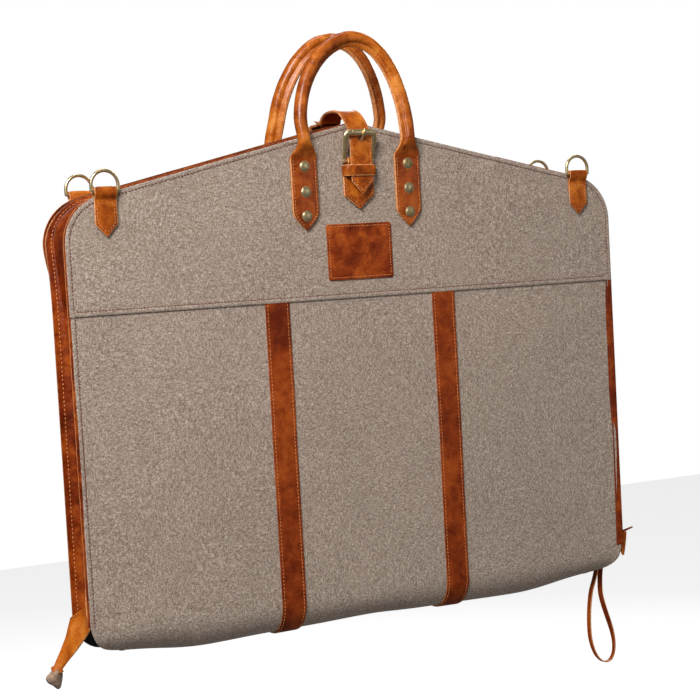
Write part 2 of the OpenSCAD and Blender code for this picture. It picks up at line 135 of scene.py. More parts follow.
class Shader:
    """A material under construction: each method adds one node and gives its output."""

    def __init__(self, name):
        self.material = bpy.data.materials.new(name)
        self.material.use_nodes = True
        self.tree = self.material.node_tree
        self.surface = self.tree.nodes["Principled BSDF"]
        self.place = self.node("ShaderNodeTexCoord").outputs["Object"]

    def node(self, kind, inputs=(), **settings):
        made = self.tree.nodes.new(kind)
        for key, value in settings.items():
            setattr(made, key, value)
        for key, value in dict(inputs).items():
            self.set(made.inputs[key], value)
        return made

    def set(self, socket, value):
        if isinstance(value, bpy.types.NodeSocket):
            self.tree.links.new(value, socket)
        else:
            socket.default_value = value

    def stretch(self, x, y, z):
        """The place, scaled by cells per metre along each axis."""
        made = self.node("ShaderNodeVectorMath", {0: self.place, 1: (x, y, z)}, operation="MULTIPLY")
        return made.outputs[0]

    def noise(self, vector, scale=1.0, detail=2.0, rough=0.5, twist=0.0):
        made = self.node("ShaderNodeTexNoise", {
            "Vector": vector, "Scale": scale, "Detail": detail, "Roughness": rough, "Distortion": twist,
        })
        return made.outputs["Fac"]

    def cells(self, scale, feature="F1", smooth=0.0):
        made = self.node("ShaderNodeTexVoronoi", {"Vector": self.place, "Scale": scale}, feature=feature)
        if feature == "SMOOTH_F1":
            made.inputs["Smoothness"].default_value = smooth
        return made.outputs["Distance"]

    def math(self, operation, a, b=0.0):
        return self.node("ShaderNodeMath", {0: a, 1: b}, operation=operation).outputs[0]

    def weigh(self, *parts):
        """The sum of values, each given with its weight."""
        scaled = [self.math("MULTIPLY", value, weight) for value, weight in parts]
        total = scaled[0]
        for value in scaled[1:]:
            total = self.math("ADD", total, value)
        return total

    def span(self, value, low, high, to_low, to_high):
        made = self.node("ShaderNodeMapRange", {
            "Value": value, "From Min": low, "From Max": high, "To Min": to_low, "To Max": to_high,
        })
        return made.outputs["Result"]

    def ramp(self, value, *stops):
        made = self.node("ShaderNodeValToRGB", {"Fac": value})
        while len(made.color_ramp.elements) < len(stops):
            made.color_ramp.elements.new(0.5)
        for element, (where, colour) in zip(made.color_ramp.elements, stops):
            element.position = where
            element.color = srgb(colour)
        return made.outputs["Color"]

    def mix(self, share, a, b, kind="MIX"):
        made = self.node("ShaderNodeMix", data_type="RGBA", blend_type=kind)
        self.set(made.inputs["Factor"], share)
        self.set(made.inputs["A"], a)
        self.set(made.inputs["B"], b)
        return made.outputs["Result"]

    def bump(self, height, distance, strength=1.0, under=None):
        made = self.node("ShaderNodeBump", {"Height": height, "Distance": distance, "Strength": strength})
        if under is not None:
            self.set(made.inputs["Normal"], under)
        return made.outputs["Normal"]

    def finish(self, **values):
        for key, value in values.items():
            self.set(self.surface.inputs[key.replace("_", " ")], value)
        return self.material


def srgb(colour):
    """A linear RGBA colour from three sRGB bytes."""
    def linear(c):
        c /= 255
        return c / 12.92 if c <= 0.04045 else ((c + 0.055) / 1.055) ** 2.4
    return (*[linear(c) for c in colour], 1.0)


YARN_PITCH = 1.15 * MM


def canvas_material(name, dark, mid, light):
    """Heathered plain-weave canvas: streaks of light and dark yarn both ways over a fine weave."""
    s = Shader(name)
    warp = s.noise(s.stretch(1150, 1150, 380), detail=3, rough=0.62)
    weft = s.noise(s.stretch(400, 1100, 1200), detail=3, rough=0.62)
    yarn = s.weigh((warp, 0.5), (weft, 0.5))
    colour = s.ramp(yarn, (0.36, dark), (0.5, mid), (0.64, light))
    cloud = s.noise(s.place, 16, 3)
    shade = s.span(cloud, 0.3, 0.7, 0.95, 1.04)
    tint = s.node("ShaderNodeCombineColor", {"Red": shade, "Green": shade, "Blue": shade}).outputs[0]
    colour = s.mix(1.0, colour, tint, "MULTIPLY")
    cloth = s.node("ShaderNodeUVMap", uv_map="cloth").outputs["UV"]
    ways = s.node("ShaderNodeSeparateXYZ", {0: cloth}).outputs
    turns_per_m = 2 * math.pi / YARN_PITCH
    over = s.math("SINE", s.math("MULTIPLY", ways[0], turns_per_m))
    under = s.math("SINE", s.math("MULTIPLY", ways[1], turns_per_m))
    weave = s.math("MULTIPLY", over, under)
    fluff = s.noise(s.place, 1500, 2)
    height = s.weigh((weave, 0.5), (yarn, 1.0), (fluff, 0.5))
    return s.finish(
        Base_Color=colour, Roughness=0.9, Sheen_Weight=0.12, Sheen_Roughness=0.5,
        Specular_IOR_Level=0.2, Normal=s.bump(height, 0.22 * MM, 0.8),
    )


TAB_FADE_Z = (-22 * MM, -36 * MM)


def leather_material(name, dark, mid, light, gloss=0.36, grain=1.0, shine=0.2, tab=None):
    """Waxed pull-up leather: cloudy colour, fine grain, soft creases and a waxy gloss.

    tab holds the three colours it turns to on the handle tabs, below the necks."""
    s = Shader(name)
    cloud = s.noise(s.stretch(18, 18, 13), detail=4, rough=0.6, twist=0.6)
    mottle = s.noise(s.place, 75, 5, 0.68, 0.5)
    speck = s.noise(s.place, 900, 2)
    tone = s.weigh((cloud, 0.45), (mottle, 0.45), (speck, 0.1))
    colour = s.ramp(tone, (0.39, dark), (0.5, mid), (0.62, light))
    if tab:
        level = s.node("ShaderNodeSeparateXYZ", {"Vector": s.place}).outputs["Z"]
        tab_colour = s.ramp(tone, (0.39, tab[0]), (0.5, tab[1]), (0.62, tab[2]))
        colour = s.mix(s.span(level, *TAB_FADE_Z, 0, 1), colour, tab_colour)
    pores = s.cells(760, "SMOOTH_F1", 0.35)
    crease = s.noise(s.stretch(55, 55, 120), detail=5, rough=0.7, twist=1.2)
    fine = s.noise(s.place, 1400, 3)
    height = s.weigh((pores, -0.6), (fine, 0.5))
    normal = s.bump(crease, 1.2 * MM, 0.6 * grain)
    normal = s.bump(height, 0.16 * MM, 0.5 * grain, normal)
    return s.finish(
        Base_Color=colour, Roughness=s.span(mottle, 0.3, 0.7, gloss - 0.07, gloss + 0.12),
        Specular_IOR_Level=shine, Coat_Weight=0.05, Coat_Roughness=0.2, Normal=normal,
    )


def raw_edge_material():
    """The light cut edge of vegetable-tanned leather, with a few dark fibres."""
    s = Shader("leather_cut_edge")
    fibre = s.noise(s.place, 420, 4, 0.65)
    colour = s.ramp(fibre, (0.3, (168, 98, 48)), (0.5, (216, 142, 82)), (0.68, (238, 178, 118)))
    return s.finish(Base_Color=colour, Roughness=0.62, Normal=s.bump(fibre, 0.25 * MM, 0.5))


def flesh_material():
    """The grey-beige suede side of the leather."""
    s = Shader("leather_flesh_side")
    nap = s.noise(s.place, 260, 5, 0.7)
    colour = s.ramp(nap, (0.34, (112, 84, 66)), (0.52, (158, 128, 106)), (0.66, (192, 160, 134)))
    return s.finish(Base_Color=colour, Roughness=0.85, Sheen_Weight=0.2, Normal=s.bump(nap, 0.5 * MM, 0.6))


def thread_material(name, dark, light):
    """Waxed thread, twisted from fine strands."""
    s = Shader(name)
    strand = s.noise(s.stretch(1500, 1500, 1500), detail=2)
    colour = s.ramp(strand, (0.35, dark), (0.65, light))
    return s.finish(Base_Color=colour, Roughness=0.55, Normal=s.bump(strand, 0.1 * MM, 0.5))


def brass_material(name, bright, dull, dark, rough):
    """Antique brass: polished where it is touched, brown in the hollows."""
    s = Shader(name)
    patina = s.noise(s.place, 170, 5, 0.65, 0.4)
    colour = s.ramp(patina, (0.28, dark), (0.38, dull), (0.54, bright))
    scratches = s.noise(s.stretch(900, 900, 2600), detail=3)
    return s.finish(
        Base_Color=colour, Metallic=0.9, Roughness=s.span(patina, 0.35, 0.6, rough + 0.2, rough),
        Normal=s.bump(scratches, 0.04 * MM, 0.4),
    )


def cloth_material(name, dark, light, scale, rough, sheen):
    """Plain woven lining, webbing or tape: fine ribs and a soft sheen."""
    s = Shader(name)
    rib = s.noise(s.stretch(scale, scale, scale * 0.22), detail=2)
    cloud = s.noise(s.place, 30, 3)
    colour = s.ramp(s.weigh((rib, 0.5), (cloud, 0.5)), (0.38, dark), (0.62, light))
    return s.finish(
        Base_Color=colour, Roughness=rough, Sheen_Weight=sheen, Normal=s.bump(rib, 0.12 * MM, 0.6),
    )


CANVAS = canvas_material("canvas_heathered", (108, 90, 76), (160, 141, 126), (212, 196, 181))
LEATHER = leather_material("leather_cognac", (98, 36, 4), (160, 74, 10), (214, 124, 38))
LEATHER_STRIPE = leather_material("leather_stripe", (98, 30, 4), (138, 54, 9), (168, 78, 20), 0.4)
LEATHER_DARK = leather_material("leather_gusset", (78, 22, 2), (124, 44, 5), (172, 80, 16), 0.36)
LEATHER_ROLLED = leather_material(
    "leather_rolled", (132, 54, 6), (182, 94, 20), (226, 140, 54), 0.27, 0.7, 0.4,
    tab=((88, 30, 4), (146, 62, 8), (186, 96, 24)))
LEATHER_PATCH = leather_material("leather_patch", (82, 22, 3), (132, 49, 7), (180, 84, 24), 0.34, 1.5)
# The gusset's loose ends, knot and spike wedge use the gusset's own leather coloured much lighter: painted
# light where these twisted ends catch the lamps.
LEATHER_EAR_PAINTED_LIGHT = leather_material("leather_ear_painted_light", (146, 62, 8), (190, 98, 20), (218, 134, 52), 0.34)
RAW_EDGE = raw_edge_material()
DARK_EDGE = thread_material("leather_hole_edge", (48, 18, 8), (84, 36, 16))
FLESH = flesh_material()
CANVAS_THREAD = thread_material("thread_brick", (84, 34, 26), (134, 62, 46))
LEATHER_THREAD = thread_material("thread_orange", (190, 104, 52), (232, 156, 96))
DARK_THREAD = thread_material("thread_dark", (70, 26, 14), (104, 44, 24))
BRASS = brass_material("brass_antique", (246, 224, 172), (206, 178, 120), (84, 62, 36), 0.26)
ZIP_BRASS = brass_material("brass_zip", (196, 168, 104), (140, 112, 62), (66, 50, 28), 0.3)
LINING = cloth_material("lining_satin", (14, 14, 16), (30, 30, 34), 1300, 0.42, 0.25)
WEBBING = cloth_material("webbing_black", (14, 14, 14), (34, 33, 32), 700, 0.8, 0.1)
ZIP_TAPE = cloth_material("tape_brown", (46, 26, 16), (78, 48, 32), 900, 0.8, 0.1)
CORD_CORE = cloth_material("cord_cotton", (176, 160, 132), (214, 200, 172), 500, 0.9, 0.1)

# ---- mesh helpers ----


def smoothstep(low, high, value):
    t = np.clip((value - low) / (high - low), 0, 1)
    return t * t * (3 - 2 * t)


def unit(vectors):
    """Rows of vectors brought to length 1."""
    return vectors / np.maximum(np.linalg.norm(vectors, axis=1)[:, None], 1e-12)


def line_reach(line):
    """Length along a line at each of its points."""
    return np.concatenate([[0], np.cumsum(np.linalg.norm(np.diff(line, axis=0), axis=1))])


def resample(points, step, closed=False):
    """Points at even spacing along a line of 2D or 3D points."""
    line = np.array(points, float)
    if closed:
        line = np.vstack([line, line[:1]])
    reach = line_reach(line)
    count = max(2, int(round(reach[-1] / step)) + 1)
    marks = np.linspace(0, reach[-1], count)
    even = np.stack([np.interp(marks, reach, line[:, k]) for k in range(line.shape[1])], axis=1)
    return even[:-1] if closed else even


def curve_through(points, per_span=8):
    """A smooth Catmull-Rom line through a few points."""
    p = np.array(points, float)
    p = np.vstack([2 * p[0] - p[1], p, 2 * p[-1] - p[-2]])
    out = []
    for i in range(1, len(p) - 2):
        for k in range(per_span):
            t = k / per_span
            out.append(0.5 * (
                2 * p[i] + (p[i + 1] - p[i - 1]) * t
                + (2 * p[i - 1] - 5 * p[i] + 4 * p[i + 1] - p[i + 2]) * t ** 2
                + (3 * p[i] - p[i - 1] - 3 * p[i + 1] + p[i + 2]) * t ** 3
            ))
    return np.array(out + [p[-2]])


def make_mesh(name, points, faces, materials, face_materials=None, uvs=None, smooth=True):
    mesh = bpy.data.meshes.new(name)
    mesh.from_pydata([tuple(map(float, p)) for p in points], [], [tuple(map(int, f)) for f in faces])
    for material in materials:
        mesh.materials.append(material)
    if face_materials is not None:
        mesh.polygons.foreach_set("material_index", np.array(face_materials, np.int32))
    if uvs is not None:
        layer = mesh.uv_layers.new(name="cloth")
        corners = np.zeros(len(mesh.loops), np.int32)
        mesh.loops.foreach_get("vertex_index", corners)
        layer.data.foreach_set("uv", np.array(uvs, np.float32)[corners].ravel())
    mesh.polygons.foreach_set("use_smooth", np.full(len(mesh.polygons), smooth))
    mesh.validate()
    mesh.update()
    piece = bpy.data.objects.new(name, mesh)
    bpy.context.scene.collection.objects.link(piece)
    return piece


def apply_modifiers(piece):
    bpy.context.view_layer.update()
    solid = bpy.data.meshes.new_from_object(piece.evaluated_get(bpy.context.evaluated_depsgraph_get()))
    piece.modifiers.clear()
    piece.data = solid
    return piece


def thicken(piece, thickness, rim=1, bevel=0.0, side=-1.0):
    """Gives a surface its thickness, behind it for side -1. rim is the number of its cut edge's material."""
    solid = piece.modifiers.new("thickness", "SOLIDIFY")
    solid.thickness = thickness
    solid.offset = side
    solid.use_even_offset = True
    solid.use_rim = True
    solid.material_offset_rim = rim
    if bevel:
        round_off = piece.modifiers.new("rounding", "BEVEL")
        round_off.width = bevel
        round_off.segments = 2
        round_off.limit_method = "ANGLE"
        round_off.angle_limit = math.radians(50)
    apply_modifiers(piece)
    mark_sharp(piece, 48)
    return piece


def mark_sharp(piece, degrees):
    piece.data.set_sharp_from_angle(angle=math.radians(degrees))
    return piece


def grid_faces(rows, columns, wrap=False):
    """Faces of a grid of points stored row by row. With wrap, its last column joins its first."""
    faces = []
    for i in range(rows - 1):
        low, high = i * columns, (i + 1) * columns
        for k in range(columns if wrap else columns - 1):
            k2 = (k + 1) % columns
            faces.append((low + k, low + k2, high + k2, high + k))
    return faces


def tube_faces(rows, sides):
    """Faces of a tube of points stored ring by ring, with both ends closed."""
    last = (rows - 1) * sides
    ends = [tuple(range(sides))[::-1], tuple(range(last, last + sides))]
    return grid_faces(rows, sides, wrap=True) + ends


def edge_distance(points, outline):
    """How far each 2D point is from a closed outline."""
    a = np.array(outline, float)
    b = np.roll(a, -1, axis=0)
    d = b - a
    length2 = np.maximum((d ** 2).sum(1), 1e-18)
    best = np.full(len(points), 1e9)
    for i in range(len(a)):
        t = np.clip(((points - a[i]) @ d[i]) / length2[i], 0, 1)
        gap = np.linalg.norm(points - (a[i] + t[:, None] * d[i]), axis=1)
        best = np.minimum(best, gap)
    return best


def inside(points, outline):
    """True for each 2D point inside a closed outline."""
    a = np.array(outline, float)
    b = np.roll(a, -1, axis=0)
    x, y = points[:, 0], points[:, 1]
    hit = np.zeros(len(points), bool)
    for (x0, y0), (x1, y1) in zip(a, b):
        crosses = (y0 > y) != (y1 > y)
        if y1 != y0:
            hit ^= crosses & (x < (x1 - x0) * (y - y0) / (y1 - y0) + x0)
    return hit


def inward(outline):
    """Unit normals into a closed outline that runs anticlockwise."""
    a = np.array(outline, float)
    way = unit(np.roll(a, -1, axis=0) - np.roll(a, 1, axis=0))
    return np.stack([-way[:, 1], way[:, 0]], axis=1)


def fill_outline(outline, insets, step):
    """Points and triangles that fill an anticlockwise 2D outline: rows at the insets, then an even grid."""
    outline = np.array(outline, float)
    normals = inward(outline)
    rows = [outline]
    for inset in insets[1:]:
        row = outline + normals * inset
        row = row[inside(row, outline)]
        rows.append(row[edge_distance(row, outline) > inset * 0.95])
    low, high = outline.min(0), outline.max(0)
    xs = np.arange(low[0] + step / 2, high[0], step)
    ys = np.arange(low[1] + step / 2, high[1], step)
    spots = np.array([(x, y) for y in ys for x in xs]).reshape(-1, 2)
    spots = spots[inside(spots, outline)]
    rows.append(spots[edge_distance(spots, outline) > insets[-1] + step * 0.4])
    points = np.vstack(rows)
    edges = [(k, (k + 1) % len(outline)) for k in range(len(outline))]
    made = delaunay_2d_cdt([Vector(p) for p in points], edges, [], 1, 1e-8)
    return np.array([tuple(p) for p in made[0]]), [tuple(face) for face in made[2]]


def join_shapes(shapes):
    """One set of points and faces from several."""
    points, faces, base = [], [], 0
    for p, f in shapes:
        points.append(np.array(p, float))
        faces += [tuple(base + k for k in face) for face in f]
        base += len(p)
    return np.vstack(points), faces


# A stitch's sections: place as a share of its length, then size and lift as shares of its width.
STITCH_SECTIONS = (
    (-0.5, 0.25, -0.55), (-0.36, 0.8, 0.05), (0, 1.0, 0.42), (0.36, 0.8, 0.05), (0.5, 0.25, -0.55),
)
STITCH_SIDES = 6


def stitch_shape(centre, way, out, length, width):
    """One stitch: a small rounded bar that dips into the cloth at both ends."""
    side = np.cross(way, out)
    points = []
    for along, size, lift in STITCH_SECTIONS:
        for k in range(STITCH_SIDES):
            turn = 2 * math.pi * k / STITCH_SIDES
            points.append(
                centre + way * along * length + out * (lift + 0.5 * size * math.sin(turn)) * width
                + side * 0.5 * size * math.cos(turn) * width
            )
    last = len(points) - 1
    faces = grid_faces(len(STITCH_SECTIONS), STITCH_SIDES, wrap=True)
    faces += [tuple(range(STITCH_SIDES)), tuple(range(last, last - STITCH_SIDES, -1))]
    return points, faces


STITCH_SHARE = 0.74


def stitch_row(line, outs, pitch=3.2 * MM, width=0.75 * MM):
    """Stitches along a 3D line. outs gives the outward direction, once or at each of its points."""
    line = np.array(line, float)
    outs = np.array(outs, float)
    if outs.ndim == 1:
        outs = np.tile(outs, (len(line), 1))
    reach = line_reach(line)
    shapes = []
    for n in range(int(reach[-1] / pitch)):
        ends = [(n + 0.5 - STITCH_SHARE / 2) * pitch, (n + 0.5 + STITCH_SHARE / 2) * pitch]
        a, b = [np.array([np.interp(e, reach, line[:, k]) for k in range(3)]) for e in ends]
        out = np.array([np.interp((ends[0] + ends[1]) / 2, reach, outs[:, k]) for k in range(3)])
        way = b - a
        size = np.linalg.norm(way)
        if size < 0.2 * pitch:
            continue
        way /= size
        out -= way * (out @ way)
        out /= np.linalg.norm(out)
        jitter = 1 + 0.1 * (random.random() - 0.5)
        shapes.append(stitch_shape((a + b) / 2, way, out, size * jitter, width))
    return join_shapes(shapes)


def register(piece, slot, body, *replaced):
    """Attaches the piece to the body it rides on, when one is given, and hides the nodes it replaces. slot,
    the piece's finish, is not used.
    """
    if replaced:
        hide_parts(*replaced)
    if body is not None:
        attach(piece, body)
    return piece


def make_stitches(name, rows, material, body, slot="leather"):
    points, faces = join_shapes(rows)
    return register(make_mesh(name, points, faces, [material]), slot, body)


# ---- the bag's shape ----


def shoulder_point(inset):
    return np.array((
        CORNER_X + (CORNER_R - inset) * math.sin(SHOULDER_SLOPE),
        CORNER_Z + (CORNER_R - inset) * math.cos(SHOULDER_SLOPE),
    ))


def edge_line(inset, bottom_z):
    """The bag's edge in X and Z, drawn in by inset: up the left, over the top and down the right."""
    x, z = shoulder_point(inset)
    peak = z + x * math.tan(SHOULDER_SLOPE)
    brow = peak - BROW_HALF * math.tan(SHOULDER_SLOPE)
    turns = np.linspace(0, CORNER_TURN, 12)
    corner = [(
        CORNER_X + (CORNER_R - inset) * math.cos(a), CORNER_Z + (CORNER_R - inset) * math.sin(a)
    ) for a in turns]
    right = [(0, brow), (BROW_HALF, brow)] + corner[::-1] + [(HALF_W - inset, bottom_z)]
    return np.array([(-x, z) for x, z in right[::-1]] + right[1:])


def fold_point(s):
    """Y and Z of the cloth, and its outward direction, at length s down the front and up the back."""
    if s <= -FOLD_Z:
        return (-FOLD_R, -s), (-1.0, 0.0)
    if s >= -FOLD_Z + FOLD_LENGTH:
        return (FOLD_R, FOLD_Z + s + FOLD_Z - FOLD_LENGTH), (1.0, 0.0)
    turn = (s + FOLD_Z) / FOLD_R
    out = (-math.cos(turn), -math.sin(turn))
    return (FOLD_R * out[0], FOLD_Z + FOLD_R * out[1]), out


def swell(x, s):
    """How far the cloth stands out from its place: soft waves, and a bottom edge that rises at its ends."""
    wave = 1.1 * MM * noise.noise(Vector((x * 7, s * 5, 1.7)))
    wave += 0.35 * MM * noise.noise(Vector((x * 26, s * 17, 4.1)))
    if s <= -FOLD_Z or s >= -FOLD_Z + FOLD_LENGTH:
        turn = 0.0
    else:
        turn = math.sin((s + FOLD_Z) / FOLD_R) ** 2
    hang = 1.8 * MM * math.exp(-((abs(x) - 0.185) / 0.06) ** 2)
    hang -= 2.2 * MM * math.exp(-(x / 0.045) ** 2)
    hang -= 9 * MM * float(smoothstep(0.17, 0.29, abs(x)))
    return wave + turn * hang


def settle(points):
    """The back half's edge behind the left side lies a little further in than the front half's."""
    p = np.array(points, float)
    depth = smoothstep(MIDDLE_Y - 4 * MM, FACE_Y, p[:, 1])
    height = smoothstep(-0.10, -0.19, p[:, 2]) * smoothstep(-0.5, -0.44, p[:, 2])
    reach = smoothstep(-0.16, -HALF_W, p[:, 0])
    low = 1 - 0.4 * smoothstep(-0.3, -0.44, p[:, 2])
    p[:, 0] += 15 * MM * depth * height * reach * low
    return p


def cloth_place(x, s, height):
    (y, z), (out_y, out_z) = fold_point(s)
    lift = height + swell(x, s)
    return (x, y + out_y * lift, z + out_z * lift)


def cloth_out(s):
    out_y, out_z = fold_point(s)[1]
    return (0.0, out_y, out_z)


def hem_height(distance, wide=HEM_W):
    """The doubled hem along a cloth edge, and the dent of its stitching."""
    d = np.asarray(distance, float)
    roll = -0.55 * MM * (1 - smoothstep(0, 0.9 * MM, d))
    fold = 0.45 * MM * (1 - smoothstep(wide - 0.8 * MM, wide + 0.4 * MM, d))
    dent = -0.35 * MM * np.exp(-((d - wide + 0.2 * MM) / (0.55 * MM)) ** 2)
    return roll + fold + dent


def leather_height(distance, seam=2.4 * MM, dome=0.25 * MM):
    """Leather rounds off at its edge, dips at its stitching and stands up between its seams."""
    d = np.asarray(distance, float)
    roll = -0.4 * MM * (1 - smoothstep(0, 0.8 * MM, d))
    dent = -0.3 * MM * np.exp(-((d - seam) / (0.6 * MM)) ** 2)
    return roll + dent + dome * smoothstep(seam, seam + 3 * MM, d)


def canvas_outline():
    """The cut of the one long canvas, in X and length s, with rounded corners towards the fold."""
    inset = CANVAS_INSET
    top = [(x, -z) for x, z in edge_line(inset, FOLD_CORNER_TOP_Z)]
    turns = np.linspace(0, math.pi / 2, 10)[1:]
    half = []
    for a in turns:
        z = FOLD_CORNER_TOP_Z - FOLD_CORNER_R * math.sin(a)
        s = -z if z > FOLD_Z else -FOLD_Z + FOLD_R * math.asin(min(1, (FOLD_Z - z) / FOLD_R))
        half.append((HALF_W - inset - FOLD_CORNER_R * (1 - math.cos(a)), s))
    right = top[len(top) // 2:] + half
    right += [(x, CLOTH_LENGTH - s) for x, s in right[::-1]]
    left = [(-x, s) for x, s in right[::-1]]
    return resample(right + left, 3.5 * MM, closed=True)


def anticlockwise(outline):
    x, y = outline[:, 0], outline[:, 1]
    area = 0.5 * float(np.sum(x * np.roll(y, -1) - np.roll(x, -1) * y))
    return (outline, area) if area > 0 else (outline[::-1], -area)


def sheet_from(name, outline, place, height_at, insets, step, thickness, materials, bevel=0.0, rim=0):
    """A thin piece cut to a flat outline and put in place, with its edge profile."""
    outline, area = anticlockwise(outline)
    flat, faces = fill_outline(outline, insets, step)
    rise = height_at(edge_distance(flat, outline))
    points = settle([place(u, v, h) for (u, v), h in zip(flat, rise)])
    piece = make_mesh(name, points, faces, materials, uvs=flat)
    face = piece.data.polygons[len(faces) // 2]
    u, v = flat[face.vertices[0]]
    out = Vector(place(u, v, 1.0)) - Vector(place(u, v, 0.0))
    if face.normal.dot(out) < 0:
        piece.data.flip_normals()
    thicken(piece, thickness, rim=rim, bevel=bevel)
    return piece, area


def blend_fold(piece):
    """Bakes the piece's placement into its mesh."""
    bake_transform(piece)


HEM_INSETS = [k * MM for k in (0, 0.5, 1.2, 2.4, 3.6, 4.3, 5, 6.6)]


def make_canvas():
    piece, area = sheet_from(
        "canvas_body", canvas_outline(), cloth_place, hem_height, HEM_INSETS, 6 * MM, CANVAS_T, [CANVAS])
    register(piece, "canvas", None, "front_panel", "back_panel", "fold_canvas")
    blend_fold(piece)


def yoke_place(side):
    """Places a point of the yoke from X and its depth v below the peak, on the front (-1) or the back (1)."""
    def place(x, v, height):
        s = v if side < 0 else CLOTH_LENGTH - v
        lift = YOKE_Y - FACE_Y + height + swell(x, s)
        return (x, side * (FACE_Y + lift), -v)
    return place


def make_yoke(side, name, node, body):
    edge = edge_line(0, HEM_Z)
    outline = resample([(x, -z) for x, z in edge], 3.5 * MM, closed=True)
    piece, area = sheet_from(
        name, outline, yoke_place(side), hem_height, HEM_INSETS, 6 * MM, CANVAS_T, [CANVAS])
    register(piece, "canvas", body, node)


def puff(x, z):
    """1 where the gusset stands full at the upper corners, falling to 0 away from them."""
    gap = math.hypot(abs(x) - HALF_W + 8 * MM, z - CORNER_Z - 14 * MM)
    return math.exp(-(gap / 0.052) ** 2)


def middle_at(x, z):
    """Y of the place where the two halves meet."""
    return MIDDLE_Y + 8 * MM * puff(x, z)


def gusset_section(x, z, side):
    """Inset from the bag's edge and Y along the gusset, from its outer flange to the flange at the middle."""
    full = puff(x, z)
    depth = 13.5 * MM * (1 - 0.8 * full)
    far = (FACE_Y - CANVAS_T - 0.2 * MM) * side
    near = middle_at(x, z) + side * 1.6 * MM
    way = near - far
    side_share = float(smoothstep(0.21, 0.27, abs(x)) * smoothstep(-0.066, -0.11, z))
    proud = -(0.9 + 2.1 * side_share) * MM
    if x > 0 and side < 0:
        depth = max(depth, 15.2 * MM * float(smoothstep(-0.09, -0.13, z)))
    knots = [
        (-0.9 * MM, far), (4.5 * MM, far), (0.55 * depth + 2 * MM, far + 0.06 * way),
        (depth, far + 0.3 * way), (depth, far + 0.62 * way),
        (0.62 * depth + 1.5 * MM, far + 0.9 * way), (4.5 * MM, near - 0.02 * way), (proud, near),
    ]
    return curve_through(knots, 5)


def along_edge(first, last, step):
    """Places along the bag's edge between two shares of its length, with the inward direction at each."""
    line = resample(edge_line(0, FOLD_Z + 7 * MM), step)
    way = unit(np.gradient(line, axis=0))
    inner = np.stack([way[:, 1], -way[:, 0]], axis=1)
    low, high = int(round(first * (len(line) - 1))), int(round(last * (len(line) - 1)))
    return line[low:high + 1], inner[low:high + 1]


SEAM_INSET = 2.2 * MM
SIDE_SHARE = 0.378
GUSSET_SPANS = {"left": (0, SIDE_SHARE), "top": (SIDE_SHARE, 1 - SIDE_SHARE), "right": (1 - SIDE_SHARE, 1)}


def make_gusset(side, zone, body, node):
    line, inner = along_edge(*GUSSET_SPANS[zone], 4 * MM)
    points, seams = [], ([], [])
    for (x, z), normal in zip(line, inner):
        section = gusset_section(x, z, side)
        ripple = 0.5 * MM * noise.noise(Vector((x * 60, z * 60, 3 * side)))
        for inset, y in section:
            sink = smoothstep(3 * MM, 10 * MM, inset) * (0.3 if zone == "right" and side < 0 else 1.0)
            crumple = (0.9 * MM * noise.noise(Vector((x * 34, y * 50, z * 34))) + ripple) * sink
            spot = np.array((x, z)) + normal * (inset + crumple)
            points.append((spot[0], y, spot[1]))
        half = len(section) // 2
        flanges = (section[:half], section[:half - 1:-1])
        for row, flange in zip(seams, flanges):
            spot = np.array((x, z)) + normal * SEAM_INSET
            row.append((spot[0], np.interp(SEAM_INSET, flange[:, 0], flange[:, 1]), spot[1]))
    columns = len(section)
    points = settle(points)
    name = node + "_leather"
    piece = make_mesh(name, points, grid_faces(len(line), columns), [LEATHER_DARK, RAW_EDGE])
    mid = piece.data.polygons[len(piece.data.polygons) // 2]
    centre = Vector((0, mid.center.y, -0.25))
    if mid.normal.dot(mid.center - centre) < 0:
        piece.data.flip_normals()
    thicken(piece, LEATHER_T, bevel=0.3 * MM)
    register(piece, "leather", body, node)
    facing = side * -1.0
    rows = []
    for row, way in zip(seams, (facing, -facing)):
        lifted = settle(row) + np.array((0, way * 0.15 * MM, 0))
        rows.append(stitch_row(lifted, (0, way, 0), pitch=4 * MM, width=0.95 * MM))
    make_stitches(name + "_stitches", rows, LEATHER_THREAD, body)


LINING_CORNER_R = 26 * MM
LINING_T = 0.4 * MM


def make_lining(side, name, node, body):
    """The black satin wall of one compartment, slack between its seams."""
    top = [tuple(p) for p in edge_line(-1.5 * MM, FOLD_Z + 6 * MM)]
    low_z = BOTTOM_Z + 9 * MM
    turns = np.linspace(0, math.pi / 2, 9)
    corner = [(
        HALF_W - LINING_CORNER_R * (1 - math.cos(a)), low_z + LINING_CORNER_R * (1 - math.sin(a))
    ) for a in turns]
    outline = resample(top + corner + [(-x, z) for x, z in corner[::-1]], 6 * MM, closed=True)

    def place(x, z, height):
        slack = 0.25 * MM * noise.noise(Vector((x * 30, z * 12, 8 + side)))
        return (x, middle_at(x, z) + side * (0.55 * MM - slack + height * 0.4), z)

    piece, area = sheet_from(
        name, outline, place, lambda d: 0 * d, [0, 2 * MM, 6 * MM], 9 * MM, LINING_T, [LINING])
    register(piece, "lining", body, node)


def strip_rows(width, thickness, seam, dome):
    """Across a leather strip: offsets and heights of its face from edge to edge."""
    half = width / 2
    insets = np.array((0, 0.5, 1.2, 1.9, 2.5, 3.1, 4.2)) * MM
    middle = np.linspace(-half + 5.6 * MM, half - 5.6 * MM, 5)
    offs = np.concatenate([-half + insets, middle, half - insets[::-1]])
    return offs, thickness + leather_height(half - np.abs(offs), seam, dome)


